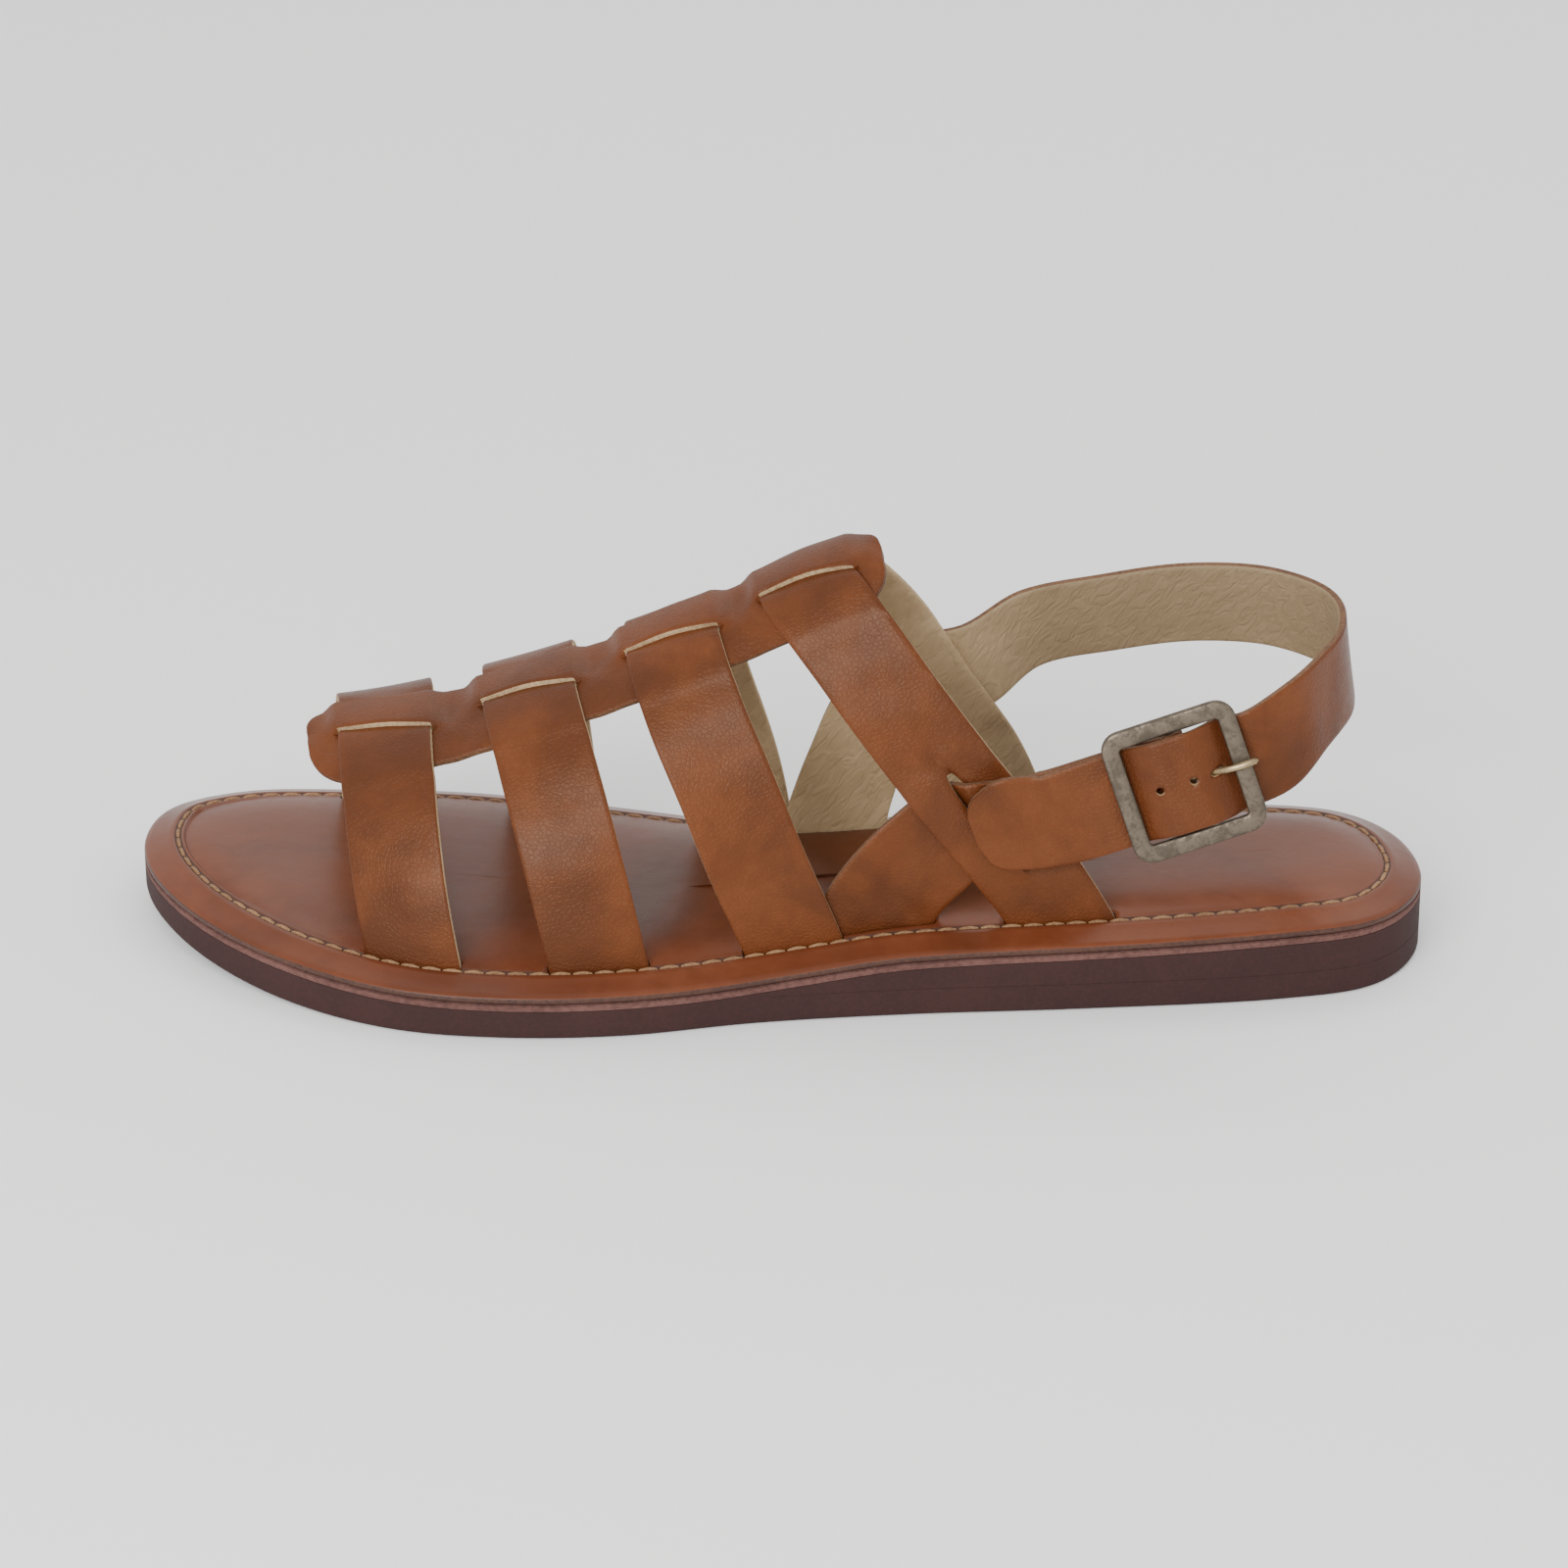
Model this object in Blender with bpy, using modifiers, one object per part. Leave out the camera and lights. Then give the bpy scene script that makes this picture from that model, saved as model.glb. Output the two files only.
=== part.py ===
"""Flat leather sandal, left shoe: layered sole, woven strap upper, heel strap and side buckle.

Metres, +X to the toe, +Y to the outer side, +Z up, origin under the middle of the sole.
"""
import math

import bpy
import numpy as np

# sole
LENGTH = 0.2925
BALL_WIDTH = 0.1030
SOLE_SHEET = 0.0066
INSOLE_EDGE = 0.0016
MIDSOLE_BAND = 0.0015
LAYER_GAP = 0.0003
WEDGE_FRONT = 0.490
WEDGE_TIP = 0.0006
TOE_SPRING = 0.0050
SPRING_START = 0.80
SOLE_ROUND = 0.0012
STATIONS = 44

# insole top, measured from its edge
EDGE_ROUND = 0.0003
STITCH_IN = 0.0078
GROOVE_WIDTH = 0.0010
GROOVE_DEPTH = 0.0005
RIM_RISE = 0.0024
PAD_RISE = 0.0019

# straps
LEATHER = 0.0018
STRAP_WIDTH = 0.0216
HALF = STRAP_WIDTH / 2
SLOT_IN = 0.0093
FIT = 0.0003
PLY = LEATHER + FIT
ROW_STEP = 0.0042

# spine band
SPINE_HALF = 0.0122
SLIT_HALF_GAP = 0.0014
SLIT_END_GAP = 0.0006
SLIT_REACH = 0.0115
SLIT_SLANT = 0.15
SPINE_SLACK = 0.0010
MARGIN_DROP = 0.0009
BRIDGE_LIFT = 0.0009
STRAP_OVER = 0.0006
SWELL = 0.0007
SPINE_SKEW = -0.20
END_RADIUS = 0.0090

# slit of the rear cross strap
QUARTER_SLIT_HALF = 0.0018
QUARTER_RAMP = 0.0012
QUARTER_SLIT_TIP = 0.0007
QUARTER_SLIT_LENGTH = 0.0256
QUARTER_SAG = 0.0008
QUARTER_DIP = 0.0050
QUARTER_FAN = 0.20
FRONT_LIFT = 0.0006
REAR_DROP = 0.0009

# buckle
BAR = 0.0040
BUCKLE_ROOM = 0.0006
BUCKLE_LONG = 0.0305
BUCKLE_TALL = STRAP_WIDTH + 2 * (BAR + BUCKLE_ROOM)
BUCKLE_THICK = 0.0020
BUCKLE_CORNER = 0.0045
INNER_CORNER = 0.0008
BAR_RADIUS = 0.0009
PIN_RADIUS = 0.0008
BAR_LEVEL = 0.0028
FRAME_LEVEL = 0.0055
HOLE_RADIUS = 0.0009
BILLET_HOLES = (-0.0055, 0.0022)
BILLET_TIP_RADIUS = 0.0092
BILLET_PAST_SLIT = 0.0036

# station from the heel as a share of LENGTH, side as a share of BALL_WIDTH
OUTLINE = (
    (0.000, -0.130),
    (0.010, 0.010),
    (0.040, 0.118),
    (0.105, 0.188),
    (0.260, 0.270),
    (0.390, 0.325),
    (0.500, 0.388),
    (0.600, 0.470),
    (0.690, 0.499),
    (0.775, 0.478),
    (0.870, 0.360),
    (0.945, 0.185),
    (0.988, 0.000),
    (1.000, -0.160),
    (0.988, -0.300),
    (0.935, -0.420),
    (0.850, -0.477),
    (0.760, -0.500),
    (0.650, -0.460),
    (0.540, -0.400),
    (0.400, -0.378),
    (0.250, -0.415),
    (0.130, -0.448),
    (0.060, -0.418),
    (0.020, -0.315),
)

# station share, height of the insole's edge above the floor
RIM = (
    (0.00, 0.0172),
    (0.12, 0.0170),
    (0.22, 0.0161),
    (0.35, 0.0152),
    (0.40, 0.0145),
    (0.46, 0.0124),
    (0.52, 0.0106),
    (0.60, 0.0103),
    (0.72, 0.0103),
    (0.82, 0.0110),
    (0.92, 0.0126),
    (1.00, 0.0143),
)

# station share, side of the last's ridge, height of the ridge, fullness of the section
LAST = (
    (0.20, -0.0090, 0.1090, 2.20),
    (0.36, -0.0090, 0.1035, 2.20),
    (0.44, -0.0090, 0.0960, 2.15),
    (0.52, -0.0085, 0.0855, 2.10),
    (0.60, -0.0080, 0.0750, 2.05),
    (0.70, -0.0080, 0.0631, 2.05),
    (0.80, -0.0080, 0.0540, 2.05),
    (0.90, -0.0080, 0.0490, 2.05),
)

# turn over the last in degrees from the outer slot, station share of the strap's centre
CROSS_STRAPS = {
    "toe": ((0, 0.759), (25, 0.773), (50, 0.785), (72, 0.795), (92, 0.802), (115, 0.811), (145, 0.819), (180, 0.820)),
    "ball": ((0, 0.618), (20, 0.635), (36, 0.650), (54, 0.667), (75, 0.684), (92, 0.691), (115, 0.694),
             (145, 0.692), (180, 0.684)),
    "arch": ((0, 0.472), (16, 0.502), (31, 0.525), (51, 0.553), (74, 0.574), (92, 0.582), (115, 0.577),
             (142, 0.561), (170, 0.534), (180, 0.527)),
    "instep": ((0, 0.269), (9, 0.304), (20, 0.347), (38, 0.402), (51, 0.432), (62, 0.453), (75, 0.472),
               (92, 0.482), (107, 0.479), (121, 0.459), (142, 0.417), (156, 0.385), (170, 0.345), (180, 0.322)),
}

# station share, turn of the spine band's centre line
SPINE_TURN = ((0.40, 77.0), (0.48, 75.5), (0.58, 74.5), (0.69, 74.0), (0.80, 72.0), (0.87, 71.0))
SPINE_TOE = 0.857
SPINE_INSTEP = 0.4165

# rows of the quarter straps below the slit: upper edge station and turn, lower edge station and turn
OUTER_ROWS = (
    (0.4780, 0.0, 0.3770, 0.0),
    (0.4420, 11.5, 0.3640, 3.6),
)
INNER_ROWS = (
    (0.5080, 180.0, 0.4210, 180.0),
    (0.4800, 163.5, 0.4130, 173.5),
)

# middle of the strap round the heel: station, side, height, lean of its face in degrees
BUCKLE_ZONE = (
    (0.0700, 0.0203, 0.0489, 11.0),
    (0.0390, 0.0167, 0.0597, 10.0),
)
AFTER_BUCKLE = (
    (0.0285, 0.0108, 0.0662, 4.0),
    (0.0196, -0.0040, 0.0705, 6.0),
    (0.0216, -0.0210, 0.0722, 11.0),
    (0.0350, -0.0320, 0.0730, 14.0),
    (0.0530, -0.0358, 0.0721, 15.0),
    (0.0720, -0.0362, 0.0688, 15.0),
    (0.0900, -0.0348, 0.0645, 14.0),
)

# distance from the buckle's bar, height over the quarter path
BILLET_HUMP = (
    (-0.0500, 0.0040),
    (-0.0300, 0.0040),
    (-0.0190, 0.0036),
    (-0.0130, 0.0033),
    (-0.0108, 0.0034),
    (-0.0078, 0.0052),
    (-0.0050, 0.0067),
    (0.0000, 0.00705),
    (0.0050, 0.0067),
    (0.0078, 0.0052),
    (0.0108, 0.0030),
    (0.0130, 0.0025),
    (0.0180, 0.0022),
    (0.0400, 0.0000),
)
FOLD_OUT = ((-0.0150, 0.0012), (-0.0100, 0.00125), (-0.0074, 0.0022), (-0.0048, 0.0036))
FOLD_BACK = ((-0.0030, 0.00045), (-0.0060, -0.00035), (-0.0090, -0.00085), (-0.0150, -0.0009))
FOLD_TURNS = (118, 90, 60, 30, 0, -30, -60, -90)

# distance behind the bar and height over the bar's middle along the pin's shaft
PIN_SHAFT = (
    (0.0000, 0.0019),
    (0.0030, 0.0019),
    (0.0055, 0.00215),
    (0.0080, 0.0032),
    (0.0101, 0.0043),
    (0.0116, 0.0047),
    (0.0156, 0.0047),
    (0.0168, 0.0045),
)
PIN_RING = 0.0019
PIN_SLOT = (0.0046, 0.0101, 0.0012)
FOLD_SLOT = (0.0034, 0.0012)


def smooth_rows(rows, at):
    """Read a table of (key, values...) rows along a smooth curve through them."""
    table = np.array(rows, float)
    keys, values = table[:, 0], table[:, 1:]
    gaps = np.diff(keys)
    slopes = np.diff(values, axis=0) / gaps[:, None]
    tangents = np.empty_like(values)
    tangents[0], tangents[-1] = slopes[0], slopes[-1]
    weights = gaps[:-1, None], gaps[1:, None]
    tangents[1:-1] = (slopes[:-1] * weights[1] + slopes[1:] * weights[0]) / (weights[0] + weights[1])
    at = np.atleast_1d(np.asarray(at, float))
    index = np.clip(np.searchsorted(keys, at) - 1, 0, len(keys) - 2)
    gap = gaps[index][:, None]
    t = np.clip((at - keys[index])[:, None] / gap, 0.0, 1.0)
    ease = t * t * (3 - 2 * t)
    lead = t * (1 - t) ** 2 * gap
    trail = t * t * (1 - t) * gap
    return values[index] * (1 - ease) + values[index + 1] * ease + tangents[index] * lead - tangents[index + 1] * trail


def ease(value, start, end):
    """Smooth 0 to 1 as value runs from start to end."""
    t = np.clip((np.asarray(value, float) - start) / (end - start), 0.0, 1.0)
    return t * t * (3 - 2 * t)


def unit(vectors):
    return vectors / np.linalg.norm(vectors, axis=-1, keepdims=True)


def dense_outline():
    """Closed smooth walk round the sole: heel, outer side, toe, inner side."""
    points = np.array(OUTLINE) * (LENGTH, BALL_WIDTH)
    chord = np.sqrt(np.linalg.norm(np.roll(points, -1, 0) - points, axis=1))
    keys = np.concatenate([[-chord[-1]], [0.0], np.cumsum(chord), [chord.sum() + chord[0]]])
    wrapped = np.vstack([points[-1:], points, points[:2]])
    total = chord.sum()
    return smooth_rows(np.column_stack([keys, wrapped]), np.linspace(0.0, total, 2400, endpoint=False))


def split_sides(walk):
    """Outer and inner side of a walk as tables of station against side."""
    walk = np.roll(walk, -int(walk[:, 0].argmin()), axis=0)
    toe = int(walk[:, 0].argmax())
    return walk[: toe + 1], np.vstack([walk[toe:], walk[:1]])[::-1]


WALK = dense_outline()
WALK_AHEAD = np.roll(WALK, -1, 0) - np.roll(WALK, 1, 0)
WALK_OUT = unit(np.column_stack([-WALK_AHEAD[:, 1], WALK_AHEAD[:, 0]]))
OUTER_SIDE, INNER_SIDE = split_sides(WALK)
SLOT_OUTER, SLOT_INNER = split_sides(WALK - SLOT_IN * WALK_OUT)
HEEL_END, TOE_END = WALK[:, 0].min(), WALK[:, 0].max()
WEDGE_END = WEDGE_FRONT * LENGTH


def side_at(side, x):
    return np.interp(x, side[:, 0], side[:, 1])


def rim_height(x):
    return smooth_rows(RIM, np.ravel(x) / LENGTH)[:, 0].reshape(np.shape(x))


def spring(x):
    """Lift of the sole's underside toward the toe."""
    return TOE_SPRING * np.clip(np.asarray(x) / LENGTH - SPRING_START, 0.0, None) ** 2 / (1 - SPRING_START) ** 2


def sole_stations(last=None):
    """Stations crowded toward the round ends, with a close pair at the wedge's front."""
    turn = np.linspace(0.0, math.pi, STATIONS)
    stations = HEEL_END + (TOE_END - HEEL_END) * (1 - np.cos(turn)) / 2
    pair = np.array([WEDGE_END - FIT, WEDGE_END])
    if last is not None:
        return np.append(stations[stations < last - 0.002], last)
    return np.sort(np.concatenate([stations[np.abs(stations - WEDGE_END) > 0.002], pair]))


def sole_ring(stations, inset=0.0):
    """Points round the sole at the stations, moved inward square to the edge."""
    lateral, medial = stations[1:], stations[1:]
    if stations[-1] >= TOE_END - 1e-6:
        lateral, medial = stations[1:], stations[1:-1]
    ring = [(HEEL_END, WALK[WALK[:, 0].argmin(), 1])]
    ring += [(x, float(side_at(OUTER_SIDE, x))) for x in lateral]
    ring += [(x, float(side_at(INNER_SIDE, x))) for x in medial[::-1]]
    ring = np.array(ring)
    nearest = [int(np.hypot(*(WALK - point).T).argmin()) for point in ring]
    return ring - inset * WALK_OUT[nearest]


def new_object(name, points, faces, collection):
    mesh = bpy.data.meshes.new(name)
    mesh.from_pydata([tuple(map(float, point)) for point in points], [], faces)
    mesh.update()
    thing = bpy.data.objects.new(name, mesh)
    collection.objects.link(thing)
    return thing


def stacked_rings(name, rings, collection):
    """Closed body from rings of equal count, its two ends closed by strips across the sole."""
    count = len(rings[0])
    points = np.vstack(rings)
    faces = []
    for level in range(len(rings) - 1):
        low, high = level * count, (level + 1) * count
        for i in range(count):
            j = (i + 1) % count
            faces.append((low + j, low + i, high + i, high + j))
    half = (count + 1) // 2
    for base, flip in ((0, True), ((len(rings) - 1) * count, False)):
        for i in range(half):
            strip = [i, i + 1, count - i - 1, (count - i) % count]
            strip = [base + k for n, k in enumerate(strip) if k not in strip[:n]]
            if len(strip) > 2:
                faces.append(tuple(strip if flip else strip[::-1]))
    thing = new_object(name, points, faces, collection)
    shift_to_row(thing)
    return thing


def raised(ring, heights):
    return np.column_stack([ring, heights])


def shift_to_row(thing):
    """Move the heel-based build coordinates to the origin under the sole's middle."""
    middle = (WALK[:, 1].max() + WALK[:, 1].min()) / 2
    for vertex in thing.data.vertices:
        vertex.co.x -= (HEEL_END + TOE_END) / 2
        vertex.co.y -= middle


def build_outsole(collection):
    stations = sole_stations()
    ring = sole_ring(stations)
    x = ring[:, 0]
    stack = INSOLE_EDGE + MIDSOLE_BAND + 2 * LAYER_GAP
    top = np.where(x < WEDGE_END - FIT / 2, SOLE_SHEET, rim_height(x) - stack - LAYER_GAP)
    low = spring(x)
    rings = [
        raised(sole_ring(stations, SOLE_ROUND), low),
        raised(sole_ring(stations, SOLE_ROUND * 0.3), low + SOLE_ROUND * 0.3),
        raised(ring, low + SOLE_ROUND),
        raised(ring, top),
    ]
    return stacked_rings("outsole", rings, collection)


def build_wedge(collection):
    stations = sole_stations(WEDGE_END - 2 * FIT)
    ring = sole_ring(stations)
    bottom = np.full(len(ring), SOLE_SHEET + LAYER_GAP)
    top = rim_height(ring[:, 0]) - INSOLE_EDGE - MIDSOLE_BAND - 2 * LAYER_GAP
    return stacked_rings("heel_wedge", [raised(ring, bottom), raised(ring, top)], collection)


def build_midsole(collection):
    stations = sole_stations()
    ring = sole_ring(stations)
    top = rim_height(ring[:, 0]) - INSOLE_EDGE - LAYER_GAP
    return stacked_rings("midsole", [raised(ring, top - MIDSOLE_BAND), raised(ring, top)], collection)


def build_insole(collection):
    """Leather footbed: sloped rim, stitch groove and padded middle."""
    stations = sole_stations()
    groove = GROOVE_WIDTH / 2
    profile = (
        (0.0, -INSOLE_EDGE),
        (0.0, -EDGE_ROUND),
        (EDGE_ROUND, 0.0),
        (STITCH_IN / 2, RIM_RISE * 0.52),
        (STITCH_IN - groove, RIM_RISE * 0.97),
        (STITCH_IN - groove * 0.6, RIM_RISE - GROOVE_DEPTH),
        (STITCH_IN + groove * 0.6, RIM_RISE - GROOVE_DEPTH),
        (STITCH_IN + groove, RIM_RISE),
    )
    rings = []
    for inset, height in profile:
        ring = sole_ring(stations, inset)
        rings.append(raised(ring, rim_height(ring[:, 0]) + height))
    edge = sole_ring(stations, STITCH_IN + groove)
    reach = 0.5 * BALL_WIDTH * 0.62
    axis_x = np.clip(edge[:, 0], HEEL_END + reach, TOE_END - reach)
    axis_y = (side_at(OUTER_SIDE, axis_x) + side_at(INNER_SIDE, axis_x)) / 2
    axis = np.column_stack([axis_x, axis_y])
    for share, rise in ((0.10, 0.36), (0.26, 0.74), (0.50, 0.96), (0.78, 1.0)):
        ring = edge + (axis - edge) * share
        rings.append(raised(ring, rim_height(ring[:, 0]) + RIM_RISE + PAD_RISE * rise))
    return stacked_rings("insole", rings, collection)


def last_point(x, turn):
    """Point on the last's surface at a station and a turn in degrees from the outer slot."""
    x, turn = np.broadcast_arrays(np.asarray(x, float), np.asarray(turn, float))
    ridge, height, full = (smooth_rows(LAST, x.ravel() / LENGTH)[:, k].reshape(x.shape) for k in range(3))
    base = rim_height(x) - INSOLE_EDGE
    cos, sin = np.cos(np.radians(turn)), np.sin(np.radians(turn))
    outer, inner = side_at(SLOT_OUTER, x), side_at(SLOT_INNER, x)
    reach = np.where(cos > 0, outer - ridge, ridge - inner)
    y = ridge + reach * np.sign(cos) * np.abs(cos) ** (2 / full)
    z = base + (height - base) * np.abs(sin) ** (2 / full)
    return np.stack([x, y, z], axis=-1)


def last_normal(x, turn):
    """Outward direction of the last's surface."""
    turn = np.clip(np.asarray(turn, float), 0.6, 179.4)
    along = last_point(x + 0.001, turn) - last_point(x - 0.001, turn)
    over = last_point(x, turn + 0.5) - last_point(x, turn - 0.5)
    return unit(np.cross(over, along))


def across_spine(x, turn):
    """Distance over the last from the spine band's centre line, positive to the outer side."""
    turns = np.linspace(0.0, 180.0, 361)
    flat_x, flat_turn = np.ravel(x), np.ravel(turn)
    result = np.empty(len(flat_x))
    centre = smooth_rows(SPINE_TURN, flat_x / LENGTH)[:, 0]
    for i, (station, at) in enumerate(zip(flat_x, flat_turn)):
        section = last_point(np.full(361, station), turns)
        walked = np.concatenate([[0.0], np.cumsum(np.linalg.norm(np.diff(section, axis=0), axis=1))])
        result[i] = np.interp(centre[i], turns, walked) - np.interp(at, turns, walked)
    return result.reshape(np.shape(x))


def spine_turn(x, across):
    """Turn of the point that lies a distance across from the spine band's centre line."""
    turns = np.linspace(0.0, 180.0, 361)
    section = last_point(np.full(361, x), turns)
    walked = np.concatenate([[0.0], np.cumsum(np.linalg.norm(np.diff(section, axis=0), axis=1))])
    centre = smooth_rows(SPINE_TURN, x / LENGTH)[0, 0]
    return float(np.interp(np.interp(centre, turns, walked) - across, walked, turns))


def grid_sheet(name, grid, collection, thickness=LEATHER, skip=()):
    """Leather sheet from a grid of mid-surface points, thickened evenly to both sides."""
    rows, columns = len(grid), len(grid[0])
    points = np.reshape(grid, (-1, 3))
    faces = []
    for r in range(rows - 1):
        for c in range(columns - 1):
            if (r, c) not in skip:
                a = r * columns + c
                faces.append((a, a + 1, a + columns + 1, a + columns))
    thing = new_object(name, points, faces, collection)
    shift_to_row(thing)
    shell = thing.modifiers.new("leather", "SOLIDIFY")
    shell.thickness = thickness
    shell.offset = 0.0
    shell.use_even_offset = True
    shell.use_quality_normals = True
    return thing


class CrossStrap:
    """Centre line and width of one cross strap laid over the last."""

    def __init__(self, rows):
        self.turns = np.linspace(0.0, 180.0, 721)
        self.centre = smooth_rows(rows, self.turns)[:, 0] * LENGTH
        points = last_point(self.centre, self.turns)
        steps = np.linalg.norm(np.diff(points, axis=0), axis=1)
        self.walked = np.concatenate([[0.0], np.cumsum(steps)])
        along = last_point(self.centre + 0.001, self.turns) - last_point(self.centre - 0.001, self.turns)
        share = np.linalg.norm(np.cross(along / 0.002, unit(np.gradient(points, axis=0))), axis=1)
        share = np.convolve(np.pad(share, 20, mode="edge"), np.ones(41) / 41, mode="valid")
        self.half = HALF / share
        self.length = self.walked[-1]

    def turn_at(self, walked):
        return np.interp(walked, self.walked, self.turns)

    def walked_at(self, turn):
        return np.interp(turn, self.turns, self.walked)

    def surface(self, walked, across):
        """Station and turn at a distance along the strap and a distance across it, positive to the toe."""
        turn = self.turn_at(walked)
        centre = np.interp(turn, self.turns, self.centre)
        half = np.interp(turn, self.turns, self.half)
        return centre + half * across / HALF, turn


STRAPS = {name: CrossStrap(rows) for name, rows in CROSS_STRAPS.items()}
OUTER_SLIT = 0.0350
INNER_SLIT = STRAPS["instep"].length - 0.0470


def spread(marks, step):
    """Rows between marks at about an even step, with every mark kept."""
    rows = [marks[0]]
    for start, end in zip(marks[:-1], marks[1:]):
        count = max(1, round((end - start) / step))
        rows += list(np.linspace(start, end, count + 1)[1:])
    return rows


def strap_offset(distance, across):
    """Height of a cross strap's middle over the last: on the spine's outer half, under its inner half."""
    out = ease(distance, SPINE_HALF + 0.0045, SPINE_HALF + 0.0006)
    under = ease(distance + SLIT_SLANT * across, SLIT_HALF_GAP, -SLIT_HALF_GAP)
    back = ease(distance, -SPINE_HALF - 0.0006, -SPINE_HALF - 0.0045)
    bell = np.cos(np.clip(across / HALF, -1, 1) * math.pi / 2) ** 2
    return STRAP_OVER * out * (1 - 2 * under + back) + SWELL * bell * (under - back)


def strap_grid(strap, columns, rows, lift=None):
    grid = []
    slit = float(np.interp(0.0, -across_spine(strap.centre, strap.turns), strap.walked))
    for walked in rows:
        line = []
        slant = SLIT_SLANT * (1 - float(ease(abs(walked - slit), 0.004, 0.014)))
        for across in columns(walked):
            x, turn = strap.surface(walked + slant * across, across)
            height = strap_offset(across_spine(x, turn), across)
            if lift is not None:
                height = height + lift(walked, across)
            line.append(last_point(x, turn) + last_normal(x, turn) * height)
        grid.append(line)
    return grid


def spine_marks(strap):
    """Distances along a strap where it meets the spine band's edges and slit."""
    distances = across_spine(strap.centre, strap.turns)
    edge = SPINE_HALF + 0.0006
    places = (edge + 0.0039, edge, SLIT_HALF_GAP, -SLIT_HALF_GAP, -edge, -edge - 0.0039)
    return [float(np.interp(-place, -distances, strap.walked)) for place in places]


def quarter_middle(slit, across, side):
    """Where the middle of a quarter strap lies along the instep strap, at a distance across it."""
    toward_toe = max(0.0, across / HALF)
    return slit - side * (QUARTER_SAG + QUARTER_DIP * toward_toe ** 2)


def build_cross_strap(name, collection):
    strap = STRAPS[name]
    shares = (-1.0, -0.6, -0.2, 0.2, 0.6, 1.0)
    marks = [0.0] + spine_marks(strap) + [strap.length]
    skip = set()
    if name != "instep":
        rows = spread(marks, ROW_STEP)
        return grid_sheet(name + "_strap", strap_grid(strap, lambda walked: [HALF * s for s in shares], rows), collection)
    reach = QUARTER_SLIT_LENGTH / 2
    for slit in (OUTER_SLIT, INNER_SLIT):
        marks += [slit - reach, slit - HALF - 0.0004, slit + HALF + 0.0004, slit + reach]
    rows = spread(sorted(marks), ROW_STEP)
    for r in range(len(rows) - 1):
        middle = (rows[r] + rows[r + 1]) / 2
        if min(abs(middle - OUTER_SLIT), abs(middle - INNER_SLIT)) < reach:
            skip.add((r, 2))

    def columns(walked):
        near = min(abs(walked - OUTER_SLIT), abs(walked - INNER_SLIT))
        gap = QUARTER_SLIT_HALF
        if abs(near - reach) < 1e-6:
            gap = QUARTER_SLIT_TIP
        return [-HALF, -0.6 * HALF, -gap, gap, 0.6 * HALF, HALF]

    def lift(walked, across):
        near = min(abs(walked - quarter_middle(OUTER_SLIT, across, 1)),
                   abs(walked - quarter_middle(INNER_SLIT, across, -1)))
        share = ease(near, reach + 0.0060, HALF + 0.0006)
        return share * (FRONT_LIFT if across > 0 else -REAR_DROP)

    return grid_sheet(name + "_strap", strap_grid(strap, columns, rows, lift), collection, skip=skip)


def spine_crossings():
    """Station where each cross strap's centre passes the spine band's centre line."""
    crossings = {}
    for name, strap in STRAPS.items():
        distances = across_spine(strap.centre, strap.turns)
        walked = float(np.interp(0.0, -distances, strap.walked))
        crossings[name] = float(strap.surface(walked, 0.0)[0])
    return crossings


def spine_stretch(x):
    """Length over the last for each unit of station along the spine band."""
    turn = spine_turn(x, 0.0)
    return float(np.linalg.norm(last_point(x + 0.001, turn) - last_point(x - 0.001, turn)) / 0.002)


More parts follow.
